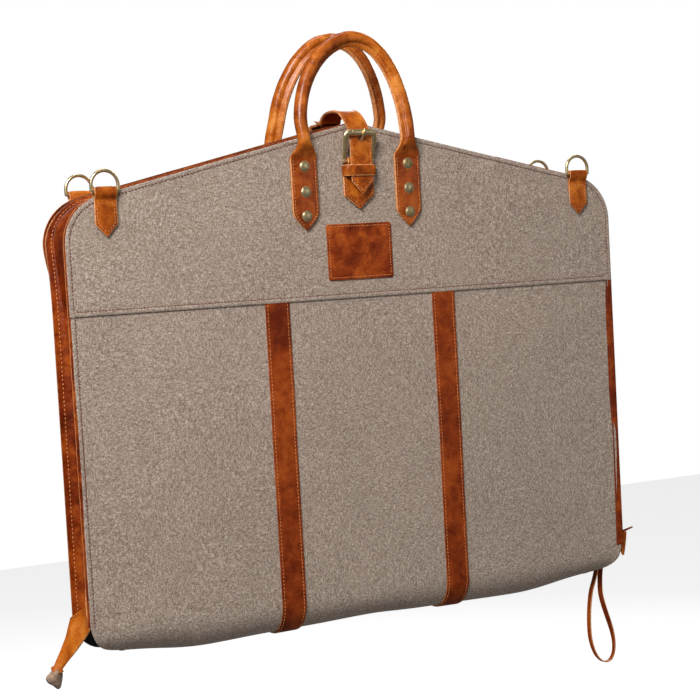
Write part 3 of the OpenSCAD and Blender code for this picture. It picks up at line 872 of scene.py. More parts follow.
def make_stripe(x0, name, replaced):
    """One leather stripe, from under the front yoke round the fold to under the back yoke."""
    def wander(s):
        return 0.5 * MM * noise.noise(Vector((x0 * 9, s * 8, 2.2)))

    seam_inset = 2.6 * MM
    offs, heights = strip_rows(STRIPE_W, LEATHER_T, seam_inset, 0.2 * MM)
    start = -HEM_Z - 5 * MM
    marks = np.linspace(start, CLOTH_LENGTH - start, int((CLOTH_LENGTH - 2 * start) / (4 * MM)))
    points = []
    for s in marks:
        for off, height in zip(offs, heights):
            tuck = min(1.0, min(s - start, CLOTH_LENGTH - start - s) / (8 * MM))
            points.append(cloth_place(x0 + off + wander(s), s, height * (0.35 + 0.65 * tuck)))
    piece = make_mesh(name, points, grid_faces(len(marks), len(offs)), [LEATHER_STRIPE, RAW_EDGE])
    face = piece.data.polygons[3]
    if face.normal.y > 0:
        piece.data.flip_normals()
    thicken(piece, LEATHER_T, bevel=0.25 * MM)
    register(piece, "leather", None, *replaced)
    blend_fold(piece)
    seam = np.arange(start + 6 * MM, CLOTH_LENGTH - start - 6 * MM, 2 * MM)
    outs = [cloth_out(s) for s in seam]
    rows = []
    for edge in (-1, 1):
        off = edge * (STRIPE_W / 2 - seam_inset)
        line = [cloth_place(x0 + off + wander(s), s, LEATHER_T - 0.1 * MM) for s in seam]
        rows.append(stitch_row(line, outs, pitch=3.6 * MM))
    blend_fold(make_stitches(name + "_stitches", rows, LEATHER_THREAD, None))


def hem_stitches():
    """The dark seams along the canvas edges and the yokes' hems."""
    lift = 0.12 * MM
    edge = resample(edge_line(HEM_W - 0.2 * MM, HEM_Z + 2 * MM), 2 * MM)
    across = np.arange(-HALF_W + 6 * MM, HALF_W - 6 * MM, 2 * MM)
    for side, label in BOTH_FACES:
        place = yoke_place(side)
        lines = [
            [place(x, -z, lift) for x, z in edge],
            [place(x, -HEM_Z - HEM_W, lift) for x in across],
        ]
        for edge_x in (-1, 1):
            marks = np.arange(-HEM_Z + 1 * MM, -FOLD_CORNER_TOP_Z + 8 * MM, 2 * MM)
            marks = marks if side < 0 else CLOTH_LENGTH - marks
            x = edge_x * (HALF_W - CANVAS_INSET - HEM_W + 0.2 * MM)
            lines.append([cloth_place(x, s, lift) for s in marks])
        rows = [
            stitch_row(settle(line), (0, side, 0), pitch=3.4 * MM, width=0.9 * MM) for line in lines]
        make_stitches(label + "_hem_stitches", rows, CANVAS_THREAD, label + "_half", slot="canvas")


def make_soft_body():
    make_canvas()
    make_yoke(-1, "front_yoke_canvas", "front_yoke", "front_half")
    make_yoke(1, "back_yoke_canvas", "back_yoke", "back_half")
    for side, label in BOTH_FACES:
        for zone in ("left", "top", "right"):
            make_gusset(side, zone, label + "_half", f"{label}_{zone}_gusset")
        make_lining(side, label + "_lining_satin", label + "_lining", label + "_half")
    for x0, label in ((-STRIPE_X, "left"), (STRIPE_X, "right")):
        make_stripe(x0, label + "_stripe", [f"{part}_{label}_stripe" for part in ("front", "fold", "back")])
    hem_stitches()


make_soft_body()

# ---- handles ----

NECK_Y = 43.8 * MM
NECK_Z = -28 * MM
HANDLE_X = 57 * MM
HANDLE_LEG = 18 * MM
HANDLE_RISE = 93 * MM
HANDLE_LEAN = math.radians(8.5)
ROLL_R = 6.3 * MM
TAB_T = 3.2 * MM
TAB_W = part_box("front_left_handle_tab")[1].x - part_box("front_left_handle_tab")[0].x + 2.6 * MM
TAB_TIP_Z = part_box("front_left_handle_tab")[0].z
TAB_TOP_Z = -31 * MM
TAB_Y = YOKE_Y + TAB_T / 2
TAB_POINT = 17 * MM
TAB_POINT_POWER = 1.35
SECTION_COUNT = 48
SLAB_POWER = 2 / 9
# For the front (-1) and the back (1): the seam's turn on the left and right legs, how far the top leans to
# the right and up, how far the legs lean to the right and spread, and how far the seam's flange stands out.
SEAM_TURN = {-1: (math.radians(-30), math.radians(6)), 1: (math.radians(-48), math.radians(-40))}
APEX = {-1: (7.5 * MM, 1.7 * MM), 1: (3 * MM, 7 * MM)}
LEG_LEAN = {-1: (-1.5 * MM, 2 * MM), 1: (9 * MM, 4.5 * MM)}
FLANGE = {-1: 3.3 * MM, 1: 5.2 * MM}


def tab_half_width(z):
    """Half the width of a handle tab, which ends in a point, at height z."""
    share = np.clip((z - TAB_TIP_Z) / TAB_POINT, 0, 1)
    return float(TAB_W / 2 * (1 - (1 - share) ** TAB_POINT_POWER))


def turn_gap(turn):
    """The smallest turn between an angle and 0."""
    return abs((turn + math.pi) % (2 * math.pi) - math.pi)


def seam_turn(side, share):
    """The seam twists from the left leg (share 0) to the right one (share 1)."""
    left, right = SEAM_TURN[side]
    return left + (right - left) * float(smoothstep(0.15, 0.85, share))


def leg_shift(side, z, spread_share):
    """How far a leg has leaned and spread at height z. spread_share runs from -1 (left) to 1 (right)."""
    lean, spread = LEG_LEAN[side]
    return (lean + spread * spread_share) * float(smoothstep(TAB_TOP_Z, NECK_Z + 40 * MM, z))


def roll_section(turn, radius, pinch, flange):
    """Distance from the roll's middle at one angle, where angle 0 is the seam on the inside of the arch."""
    gap = turn_gap(turn)
    ridge = flange * math.exp(-(gap / 0.34) ** 4) - 1.3 * MM * math.exp(-(gap / 0.06) ** 2)
    valley = -0.5 * MM * math.exp(-((gap - 0.62) / 0.16) ** 2)
    return radius + (ridge + valley) * pinch


def handle_stations():
    """Rows of the handle from the left tab's tip, over the arch, to the right tab's tip.

    Each gives a function and what it takes: a leg's side and a height on it, or an angle on the arch."""
    tip_zs = TAB_TIP_Z + np.array([0, 0.6, 1.5, 3, 5, 8, 11, 14, 17]) * MM
    tab_zs = np.arange(TAB_TIP_Z + 20 * MM, TAB_TOP_Z, 3 * MM)
    leg_zs = np.linspace(TAB_TOP_Z, NECK_Z + HANDLE_LEG - 1 * MM, 18)
    zs = np.concatenate([tip_zs, tab_zs, leg_zs])
    rows = [(leg_row, -1, z) for z in zs]
    rows += [(arch_row, math.radians(a)) for a in np.linspace(180, 0, 61)[1:-1]]
    return rows + [(leg_row, 1, z) for z in zs[::-1]]


def handle_middle(turn, side):
    """X and height of the roll's middle: half an ellipse whose top leans a little to the right."""
    shift, lift = APEX[side]
    top = math.sin(turn) ** 2
    up = HANDLE_LEG + HANDLE_RISE * math.sin(turn) + lift * top
    return HANDLE_X * math.cos(turn) + shift * top + leg_shift(side, NECK_Z + up, math.cos(turn)), up


def section_turns(seam):
    """Angles round a section, closer together at the seam."""
    turns = 2 * math.pi * (np.arange(SECTION_COUNT) + 0.5) / SECTION_COUNT
    return turns - 0.45 * np.sin(turns) + seam


def arch_row(angle, side):
    """Points of one section of the handle's arch, for the front (side -1) or the back (1)."""
    seam = seam_turn(side, 1 - angle / math.pi)
    x, up = handle_middle(angle, side)
    inner = -Vector((math.cos(angle) / HANDLE_X, math.sin(angle) / HANDLE_RISE)).normalized()
    ripple = math.sin(angle * 70 * MM / (0.9 * MM))
    lean_c, lean_s = math.cos(HANDLE_LEAN), math.sin(HANDLE_LEAN)
    points = []
    for turn in section_turns(seam):
        gap = turn_gap(turn - seam)
        crumple = noise.noise(Vector((angle * 24, gap * 2.5, side * 3)))
        pucker = 0.35 * MM * (ripple + 1.6 * crumple) * math.exp(-((gap - 0.7) / 0.3) ** 2)
        lump_at = Vector((angle * 9, math.cos(turn) * 1.5, math.sin(turn) * 1.5 + side))
        lump = 0.25 * MM * noise.noise(lump_at)
        r = roll_section(turn - seam, ROLL_R + lump, 1.0, FLANGE[side]) + pucker
        across, front = r * math.cos(turn), r * math.sin(turn)
        rise = up + inner.y * across
        out_y = -NECK_Y - front * lean_c + rise * lean_s
        points.append((x + inner.x * across, -side * out_y, NECK_Z + front * lean_s + rise * lean_c))
    return points


def leg_row(side_x, z, side):
    """Points of one section of a leg, which goes from a flat tab to a round roll as it rises."""
    seam = seam_turn(side, (1 + side_x) / 2)
    flat = float(1 - smoothstep(TAB_TOP_Z - 6 * MM, NECK_Z + 13 * MM, z))
    pinch = float(smoothstep(NECK_Z - 6 * MM, NECK_Z + 10 * MM, z))
    roll_y = -NECK_Y + max(z - NECK_Z, 0) * math.tan(HANDLE_LEAN)
    middle_y = roll_y * (1 - flat) - TAB_Y * flat
    middle_x = side_x * HANDLE_X + leg_shift(side, z, side_x)
    radius = ROLL_R - 0.6 * MM * math.exp(-((z - NECK_Z - 1 * MM) / (9 * MM)) ** 2)
    shoulder = 1.2 * MM * math.exp(-((z - TAB_TOP_Z) / (4 * MM)) ** 2)
    half_w = tab_half_width(z) + 0.15 * MM + shoulder
    creased = math.exp(-((z - TAB_TOP_Z - 4 * MM) / (7 * MM)) ** 2)
    points = []
    for turn in section_turns(seam):
        r = roll_section(turn - seam, radius, pinch, FLANGE[side])
        c, s = math.cos(turn), math.sin(turn)
        slab_x = half_w * math.copysign(abs(c) ** SLAB_POWER, c)
        slab_y = TAB_T / 2 * math.copysign(abs(s) ** SLAB_POWER, s)
        crease = 0.0
        if s > 0:
            crease = 0.7 * MM * creased * noise.noise(Vector((slab_x * 260, z * 150, 5 + side_x)))
            if z < TAB_TOP_Z + 3 * MM:
                slab_y += float(leather_height(half_w - abs(slab_x), 2.2 * MM, 0.35 * MM))
        px = slab_x * flat + r * c * (1 - flat)
        py = slab_y * flat + r * s * (1 - flat) + crease
        points.append((middle_x - side_x * px, side * (py - middle_y), z))
    return points


def make_handle(side, label):
    rows = [shape(*values, side) for shape, *values in handle_stations()]
    points = [p for row in rows for p in row]
    faces = tube_faces(len(rows), SECTION_COUNT)
    kinds = []
    from_seam = section_turns(0.0)
    half_step = 0.5 * (from_seam[1] - from_seam[0])
    for i in range(len(rows) - 1):
        seam = seam_turn(side, i / (len(rows) - 1))
        tab = rows[i][0][2] < TAB_TOP_Z and rows[i + 1][0][2] < TAB_TOP_Z
        for turn in from_seam + half_step:
            gap = turn_gap(turn + seam)
            on_edge = min(gap, math.pi - gap) < 0.6 if tab else turn_gap(turn) < 0.17
            kinds.append(1 if on_edge else 0)
    kinds += [1, 1]
    piece = make_mesh(f"{label}_handle_leather", points, faces, [LEATHER_ROLLED, RAW_EDGE], kinds)
    recalculate_outside(piece)
    mark_sharp(piece, 60)
    register(
        piece, "leather", None,
        f"{label}_handle_cover", f"{label}_left_handle_tab", f"{label}_right_handle_tab")
    make_core(side, label)
    blend_neck(piece)
    seam_rows = []
    arch_rows = [arch_row(math.radians(a), side) for a in np.linspace(176, 4, 90)]
    for index in (5, SECTION_COUNT - 6):
        line = np.array([row[index] for row in arch_rows])
        middle = np.array([np.mean(row, axis=0) for row in arch_rows])
        seam_rows.append(stitch_row(line, unit(line - middle), width=0.8 * MM))
    zs = np.arange(TAB_TIP_Z + 4.5 * MM, TAB_TOP_Z + 2 * MM, 1 * MM)
    for side_x in (-1, 1):
        for edge in (-1, 1):
            line = [(
                side_x * HANDLE_X + edge * max(tab_half_width(z) - 2.2 * MM, 0),
                side * (TAB_Y + TAB_T / 2 - 0.05 * MM), z
            ) for z in zs]
            seam_rows.append(stitch_row(line, (0, side, 0)))
    blend_neck(make_stitches(f"{label}_handle_stitches", seam_rows, LEATHER_THREAD, None))


def make_core(side, label):
    """The cotton cord inside the roll, seen only if the leather is cut open."""
    line = []
    for a in np.linspace(180, 0, 49):
        x, up = handle_middle(math.radians(a), side)
        lean_y = -NECK_Y + up * math.sin(HANDLE_LEAN)
        line.append((x, -side * lean_y, NECK_Z + up * math.cos(HANDLE_LEAN)))
    points, faces = bar_shape(line, [4.4 * MM] * len(line), sides=14)
    piece = make_mesh(f"{label}_handle_cord", points, faces, [CORD_CORE])
    recalculate_outside(piece)
    register(piece, "cord_core", f"{label}_handle", f"{label}_handle_core")


def blend_neck(piece):
    """Bakes the piece's placement into its mesh."""
    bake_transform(piece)


def recalculate_outside(piece):
    """Turns every face of a closed mesh outward."""
    work = bmesh.new()
    work.from_mesh(piece.data)
    bmesh.ops.recalc_face_normals(work, faces=work.faces)
    work.to_mesh(piece.data)
    work.free()
    piece.data.update()


# ---- turned and swept metal ----


def lathe_shape(profile, centre, axis, sides=28):
    """A turned shape: profile gives radius and height along the axis, from one end to the other."""
    axis = np.array(axis, float)
    side = np.cross(axis, (0.3, 0.2, 0.9))
    side /= np.linalg.norm(side)
    other = np.cross(axis, side)
    points = []
    for radius, height in profile:
        for k in range(sides):
            turn = 2 * math.pi * k / sides
            points.append(
                np.array(centre) + axis * height + radius * (side * math.cos(turn) + other * math.sin(turn)))
    return points, tube_faces(len(profile), sides)


def bar_shape(line, radii, sides=12, flat=1.0, up=(0, 1, 0), closed=False):
    """A bar swept along a line, with a radius at each point. flat squeezes it along up."""
    line = np.array(line, float)
    ways = np.roll(line, -1, axis=0) - np.roll(line, 1, axis=0) if closed else np.gradient(line, axis=0)
    points = []
    for spot, way, radius in zip(line, ways, radii):
        way = way / np.linalg.norm(way)
        across = np.cross(way, up)
        across /= np.linalg.norm(across)
        lift = np.cross(across, way)
        for k in range(sides):
            turn = 2 * math.pi * k / sides
            points.append(spot + radius * (across * math.cos(turn) + flat * lift * math.sin(turn)))
    rows = len(line)
    if closed:
        faces = grid_faces(rows + 1, sides, wrap=True)
        faces = [tuple(v % (rows * sides) for v in face) for face in faces]
    else:
        faces = tube_faces(rows, sides)
    return points, faces


def make_metal(name, shapes, material, body, replaced, slot="antique_brass"):
    points, faces = join_shapes(shapes)
    piece = make_mesh(name, points, faces, [material])
    recalculate_outside(piece)
    mark_sharp(piece, 40)
    return register(piece, slot, body, *replaced)


RIVET_ZS = (-42 * MM, -66.5 * MM, -90 * MM)
# Radius and height in mm, from under the cap to its top.
RIVET_PROFILE = [
    (0.6, -0.6), (5.0, -0.6), (5.4, -0.2), (5.5, 0.35), (5.25, 0.8), (4.95, 0.8), (4.7, 0.95), (3.9, 1.4),
    (2.8, 1.75), (1.4, 1.98), (0.25, 2.05),
]


def make_rivets(side, label):
    profile = [(r * MM, h * MM) for r, h in RIVET_PROFILE]
    shapes = []
    for side_x in (-1, 1):
        for z in RIVET_ZS:
            centre = (side_x * HANDLE_X, side * (YOKE_Y + TAB_T), z)
            shapes.append(lathe_shape(profile, centre, (0, side, 0)))
    make_metal(f"{label}_handle_rivet_caps", shapes, BRASS, f"{label}_half", [f"{label}_handle_rivets"])


for handle_side, handle_label in BOTH_FACES:
    make_handle(handle_side, handle_label)
    make_rivets(handle_side, handle_label)

# ---- leather ribbons: tabs, strap, keeper and loop ----


def ribbon_widths(reach, width, start_point=0.0, end_point=0.0):
    """Half the width along a strip. start_point and end_point are how long its pointed ends are."""
    half = np.full(len(reach), width / 2)
    if start_point:
        half = np.minimum(half, width / 2 * reach / start_point)
    if end_point:
        half = np.minimum(half, width / 2 * (reach[-1] - reach) / end_point)
    return np.maximum(half, 0.12 * MM)


def ribbon_frame(line, across, outward):
    """Outward normals along a strip's line. outward is +1 or -1."""
    return unit(np.cross(np.gradient(line, axis=0), across) * outward)


def ribbon(
        name, line, across, outward, width, thickness, points=(0.0, 0.0), seam=2.2 * MM, dome=0.2 * MM,
        wave=0.0, materials=(LEATHER, RAW_EDGE), bevel=0.25 * MM):
    """A strip of leather whose inner side follows a line. across is its width direction."""
    line = np.array(line, float)
    across = np.array(across, float)
    across = np.tile(across, (len(line), 1)) if across.ndim == 1 else across
    outs = ribbon_frame(line, across, outward)
    half = ribbon_widths(line_reach(line), width, *points)
    insets = np.array((0, 0.7, 1.2, 1.7, 2.2, 2.8, 3.8)) * MM
    rows = []
    for spot, out, side, h in zip(line, outs, across, half):
        share = min(1.0, h / (4.5 * MM))
        offs = [-(h - i * share) for i in insets] + [0.0] + [h - i * share for i in insets[::-1]]
        ripple = wave * noise.noise(Vector(spot) * 45)
        for off in offs:
            height = thickness + float(leather_height(h - abs(off), seam, dome)) * share + ripple
            rows.append(spot + side * off + out * height)
    columns = 2 * len(insets) + 1
    faces = grid_faces(len(line), columns)
    cut = [1 if k % (columns - 1) in (0, columns - 2) else 0 for k in range(len(faces))]
    piece = make_mesh(name, rows, faces, materials, cut)
    face = piece.data.polygons[columns * (len(line) // 2) - columns // 2]
    nearest = int(np.argmin(np.linalg.norm(line - np.array(face.center), axis=1)))
    if face.normal.dot(Vector(outs[nearest])) < 0:
        piece.data.flip_normals()
    thicken(piece, thickness, bevel=bevel)
    return piece


def ribbon_seam(
        line, across, outward, width, thickness, points=(0.0, 0.0), seam=2.4 * MM, spans=None,
        pitch=3.2 * MM):
    """Rows of stitches along both edges of a ribbon, meeting at its point. spans keeps part of its length."""
    line = resample(line, 0.7 * MM)
    reach = line_reach(line)
    across = np.tile(np.array(across, float), (len(line), 1))
    outs = ribbon_frame(line, across, outward)
    half = np.full(len(line), width / 2 - seam)
    for length, gap in ((points[0], reach), (points[1], reach[-1] - reach)):
        if length:
            slope = width / 2 / length
            side = math.sqrt(1 + slope ** 2) / slope
            half = np.minimum(half, slope * (gap - seam * side))
    low, high = spans or (0, reach[-1])
    keep = (half > 0) & (reach >= low) & (reach <= high)
    rows = []
    for edge in (-1, 1):
        path = line + across * (edge * half)[:, None] + outs * (thickness - 0.12 * MM)
        rows.append(stitch_row(path[keep], outs[keep], pitch=pitch))
    return rows


def round_bar(centre_y, centre_z, radius, first, last, steps):
    """Points at X = 0 round a bar that runs along X, between two angles in degrees."""
    return [(
        0.0, centre_y + radius * math.cos(math.radians(a)), centre_z + radius * math.sin(math.radians(a))
    ) for a in np.linspace(first, last, steps)]


# ---- pull loop: one leather lace through the zip's pull ----

# Its route in mm, from the left end at the pull down and round to the right end.
LOOP_ROUTE = [
    (290.4, -1, -466), (290.4, -1, -469), (288.6, -1, -478), (285.2, -1, -488), (281.6, -1, -498.6),
    (278, 0, -510), (275.6, 0, -522), (274, 0, -535), (273.4, 0, -548), (274, 0, -560), (276.4, 0, -571),
    (280.6, 0, -580.4), (286.6, 0, -587.4), (293.4, 0, -590.2), (299.8, 0, -588), (303.8, 0, -581),
    (304.8, 0, -571), (303.4, 0, -560), (300.4, 0, -548.6), (296.6, 0, -537), (293, 0, -525.6),
    (290.4, 0, -514), (289.6, -1, -502), (290.6, -1, -490), (293, -1, -478), (294.6, -1, -469),
    (294.6, -1, -466),
]
LACE_W = 5.6 * MM
LACE_T = 1.3 * MM
LACE_TWIST = (math.radians(-14), math.radians(40))


def make_pull_loop():
    """The lace hangs from the pull, down one side and up the other, and turns a little on its way."""
    route = np.array(LOOP_ROUTE) * MM
    line = resample(curve_through(route, 4), 2 * MM)
    reach = line_reach(line)
    ways = unit(np.gradient(line, axis=0))
    across = []
    for way, part in zip(ways, reach / reach[-1]):
        twist = LACE_TWIST[0] + (LACE_TWIST[1] - LACE_TWIST[0]) * float(smoothstep(0.5, 0.75, part))
        bottom = 1 - 0.8 * math.exp(-((part - 0.5) / 0.09) ** 2)
        flat_side = np.cross(way, (0, 1, 0))
        turn = twist * bottom
        across.append(math.cos(turn) * np.array((0, 1, 0)) + math.sin(turn) * flat_side)
    across = np.array(across)
    middle = line - ribbon_frame(line, across, 1) * (LACE_T / 2)
    piece = ribbon(
        "pull_loop_lace", middle, across, 1, LACE_W, LACE_T, seam=1.4 * MM, dome=0.1 * MM,
        wave=0.15 * MM, materials=[LEATHER_STRIPE, RAW_EDGE], bevel=0.2 * MM)
    register(piece, "leather", "zip_pull", "pull_loop")
    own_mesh(piece)


# ---- D-rings and their tabs ----

RING_X = 260 * MM
RING_BAR_Z = -58 * MM
RING_TAB_W = 21.6 * MM
RING_TAB_TIP_Z = -100.5 * MM
RING_LOOP_R = 1.85 * MM
RING_Y = YOKE_Y + 3.4 * MM
RING_TAB_T = 1.5 * MM
RING_TAB_POINT = 11 * MM


def make_ring_tab(side, side_x, name, body):
    """One strip folded over the ring's bar, its two layers stitched together down to a point."""
    inner = YOKE_Y + 0.1 * MM
    outer = inner + RING_TAB_T + 0.15 * MM
    low = RING_BAR_Z - 9 * MM
    stand_out = RING_Y + RING_LOOP_R - outer
    front = [(0, outer, z) for z in np.arange(RING_TAB_TIP_Z, low, 1.2 * MM)]
    shares = np.linspace(0, 1, 7)
    rise = [(0, outer + stand_out * float(smoothstep(0, 1, t)), low + 7 * MM * t) for t in shares]
    loop = round_bar(RING_Y, RING_BAR_Z, RING_LOOP_R, 0, 180, 11)
    back = [(0, inner, z) for z in np.arange(RING_BAR_Z - 5 * MM, RING_TAB_TIP_Z, -1.2 * MM)]
    back.append((0, inner, RING_TAB_TIP_Z))
    middle = (side_x * RING_X, 0, 0)
    line = np.array(front + rise + loop + back) * (1, side, 1) + middle
    ends = (RING_TAB_POINT, RING_TAB_POINT)
    piece = ribbon(name + "_leather", line, (1, 0, 0), side, RING_TAB_W, RING_TAB_T, ends, wave=0.25 * MM)
    register(piece, "leather", body, name)
    front_line = np.array(front) * (1, side, 1) + middle
    rows = ribbon_seam(
        front_line, (1, 0, 0), side, RING_TAB_W, RING_TAB_T, (RING_TAB_POINT, 0), seam=2.5 * MM)
    face_y = side * (outer + RING_TAB_T - 0.1 * MM)
    across = [(side_x * RING_X + x, face_y, RING_BAR_Z - 12 * MM) for x in np.linspace(-8 * MM, 8 * MM, 12)]
    rows.append(stitch_row(across, (0, side, 0)))
    make_stitches(name + "_stitches", rows, LEATHER_THREAD, body)


for ring_side, ring_face in BOTH_FACES:
    for ring_side_x, ring_hand in BOTH_HANDS:
        make_ring_tab(ring_side, ring_side_x, f"{ring_face}_{ring_hand}_ring_tab", f"{ring_face}_half")

# ---- buckle, its tab and keeper, and the closing strap ----

BAR_Y = YOKE_Y + 3.3 * MM
BAR_Z = -38 * MM
STRAP_W = 24 * MM
STRAP_T = 2.2 * MM
STRAP_BACK_Y = 40.5 * MM
STRAP_TIP_Z = -71.5 * MM
BUCKLE_TAB_W = 33 * MM
BUCKLE_TAB_TIP_Z = -85 * MM
BUCKLE_TAB_T = 1.5 * MM
FRAME_TOP_Y = 45.2 * MM
FRAME_TOP_Z = -11 * MM
FRAME_HALF = 15.5 * MM
BUCKLE_X = 1.7 * MM
STRAP_X = 2.9 * MM
ARCH_X = -3.5 * MM
ARCH_BACK_Y = 11 * MM
ARCH_BASE_Z = -9 * MM
ARCH_RISE = 19.8 * MM
ARCH_POWER = 2 / 2.5
STRAP_POINT = 13.5 * MM
KEEPER_Z = -47.5 * MM
KEEPER_TILT = 0.012
STRAP_HOLE = ((0, -21), (2.7, -17), (2.4, -13.5), (-2.4, -13.5), (-2.7, -17))
# Behind the arch: distance in from the back yoke and height, in mm.
STRAP_BACK_ROUTE = ((21, 1), (15, 0.3), (8, 0.2), (2, -0.6), (0, -5), (0, -18), (0, -32))


def make_buckle_tab():
    """A folded strip like the ring tabs, with a slot for the prong between its two loops."""
    inner = YOKE_Y + 0.1 * MM
    outer = inner + BUCKLE_TAB_T + 0.15 * MM
    low = BAR_Z - 7 * MM
    front = [(BUCKLE_X, -outer, z) for z in np.arange(BUCKLE_TAB_TIP_Z, low, 1.2 * MM)]
    back = [(BUCKLE_X, -inner, z) for z in np.arange(BUCKLE_TAB_TIP_Z, low + 3 * MM, 1.2 * MM)]
    ends = (STRAP_POINT, 0)
    for layer, line in (("front", front), ("back", back)):
        piece = ribbon(
            f"buckle_tab_{layer}", line, (1, 0, 0), -1, BUCKLE_TAB_W, BUCKLE_TAB_T, ends, wave=0.2 * MM)
        register(piece, "leather", "front_half", "buckle_tab")
    loop = [(0, -outer, low - 1 * MM), (0, -outer - 0.2 * MM, low + 1.5 * MM)]
    loop += [(0, -y, z) for _, y, z in round_bar(BAR_Y, BAR_Z, 1.95 * MM, -30, 180, 13)]
    loop += [(0, -inner, low + 2 * MM), (0, -inner, low)]
    for side_x, hand in BOTH_HANDS:
        line = np.array(loop) + (BUCKLE_X + side_x * 7.4 * MM, 0, 0)
        piece = ribbon(f"buckle_tab_loop_{hand}", line, (1, 0, 0), -1, 9 * MM, 1.3 * MM)
        register(piece, "leather", "front_half", "buckle_tab")
    rows = ribbon_seam(front, (1, 0, 0), -1, BUCKLE_TAB_W, BUCKLE_TAB_T, ends)
    make_stitches("buckle_tab_stitches", rows, LEATHER_THREAD, "front_half")


def strap_line():
    """Inner side of the strap: from the front tip up, over the bag in a rounded arch and down the back."""
    front = [(-STRAP_BACK_Y, z) for z in np.arange(STRAP_TIP_Z, ARCH_BASE_Z, 1.2 * MM)]
    middle = (ARCH_BACK_Y - STRAP_BACK_Y) / 2
    span = (ARCH_BACK_Y + STRAP_BACK_Y) / 2
    arch = []
    for turn in np.linspace(math.pi, 0.36, 45):
        along, up = math.cos(turn), math.sin(turn)
        arch.append((
            middle + span * math.copysign(abs(along) ** ARCH_POWER, along),
            ARCH_BASE_Z + ARCH_RISE * up ** ARCH_POWER,
        ))
    back_y = YOKE_Y + 0.4 * MM
    back = [(back_y - gap * MM, z * MM) for gap, z in STRAP_BACK_ROUTE]
    points = curve_through([(0, y, z) for y, z in front[::4] + arch[::4] + back], 4)
    line = resample(points, 1.2 * MM)
    ease = np.where(line[:, 1] < -30 * MM, smoothstep(-16 * MM, 8 * MM, line[:, 2]), 1.0)
    line[:, 0] = STRAP_X + (ARCH_X - STRAP_X) * ease
    return line


def blend_strap(piece):
    """Bakes the strap's placement into its mesh."""
    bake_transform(piece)


def cut_out(piece, points, faces):
    """Takes a closed shape out of a piece."""
    cutter = make_mesh(piece.name + "_cutter", points, faces, [DARK_EDGE])
    recalculate_outside(cutter)
    hole = piece.modifiers.new("hole", "BOOLEAN")
    hole.operation = "DIFFERENCE"
    hole.solver = "EXACT"
    hole.object = cutter
    apply_modifiers(piece)
    bpy.data.objects.remove(cutter)


def prism(outline, y0, y1):
    """A closed shape: an outline in X and Z carried from y0 to y1."""
    count = len(outline)
    points = [(x, y0, z) for x, z in outline] + [(x, y1, z) for x, z in outline]
    faces = [tuple(range(count)), tuple(range(2 * count - 1, count - 1, -1))]
    faces += [(k, (k + 1) % count, count + (k + 1) % count, count + k) for k in range(count)]
    return points, faces


def make_closing_strap():
    line = strap_line()
    ends = (STRAP_POINT, 0)
    piece = ribbon("closing_strap_leather", line, (1, 0, 0), -1, STRAP_W, STRAP_T, ends, wave=0.25 * MM)
    hole = [(STRAP_X + x * MM, z * MM) for x, z in STRAP_HOLE]
    cut_out(piece, *prism(hole, -STRAP_BACK_Y - 6 * MM, -STRAP_BACK_Y + 3 * MM))
    mark_sharp(piece, 48)
    register(piece, "leather", None, "closing_strap")
    blend_strap(piece)
    seam = 2.1 * MM
    rows = ribbon_seam(line, (1, 0, 0), -1, STRAP_W, STRAP_T, ends, seam=seam)
    rows += ribbon_seam(line, (1, 0, 0), 1, STRAP_W, 0.1 * MM, ends, seam=seam, spans=(80 * MM, 1))
    blend_strap(make_stitches("closing_strap_stitches", rows, LEATHER_THREAD, None))


def make_keeper():
    """A loop of leather round the strap, its ends under the tab."""
    half = 15.2 * MM
    front_y = STRAP_BACK_Y + STRAP_T + 0.35 * MM
    corner = 2.6 * MM
    side = [(half, -YOKE_Y - 0.3 * MM), (half + 0.3 * MM, -YOKE_Y - 3 * MM)]
    for turn in np.linspace(0, math.pi / 2, 7):
        side.append((half - corner + corner * math.cos(turn), -(front_y - corner + corner * math.sin(turn))))
    crown_xs = np.linspace(half - 4 * MM, -half + 4 * MM, 9)
    crown = [(x, -front_y - 0.35 * MM * (1 - (x / half) ** 2)) for x in crown_xs]
    outline = side + crown + [(-x, y) for x, y in side[::-1]]
    line = [(BUCKLE_X + x, y, KEEPER_Z - KEEPER_TILT * x) for x, y in outline]
    piece = ribbon(
        "buckle_keeper_leather", resample(line, 1 * MM), (0, 0, 1), -1, 11 * MM, 1.5 * MM, wave=0.3 * MM,
        seam=1.1 * MM, dome=0.35 * MM)
    register(piece, "leather", "front_half", "buckle_keeper")


BUCKLE_FOOT = np.array((BUCKLE_X, -BAR_Y, BAR_Z))
BUCKLE_TOP = np.array((BUCKLE_X, -FRAME_TOP_Y, FRAME_TOP_Z))
FRAME_CORNER_R = 4.5 * MM
PRONG_X = STRAP_X - 0.4 * MM
# Radius and distance along the axis, in mm.
BOSS_PROFILE = ((0.4, -2), (1.7, -1.6), (2.1, -0.8), (2.1, 0.8), (1.7, 1.6), (0.4, 2))
COLLAR_PROFILE = ((2.4, -0.9), (2.7, -0.6), (2.7, 0.6), (2.4, 0.9))
EYE_PROFILE = ((1.9, -2), (3.1, -1.8), (3.3, 0), (3.1, 1.8), (1.9, 2))
# The prong's middle line in mm, from its eye through the strap to its tip.
PRONG_ROUTE = (
    (0.2, -39, -33), (0.5, -39.3, -26), (1, -41.2, -19.5), (1.6, -45.6, -15.4), (2, -48.4, -12.2),
    (2.2, -48.8, -9.4), (2.2, -47.6, -7.8),
)


def turned_on_x(profile, centre, sides):
    return lathe_shape([(r * MM, h * MM) for r, h in profile], centre, (1, 0, 0), sides)


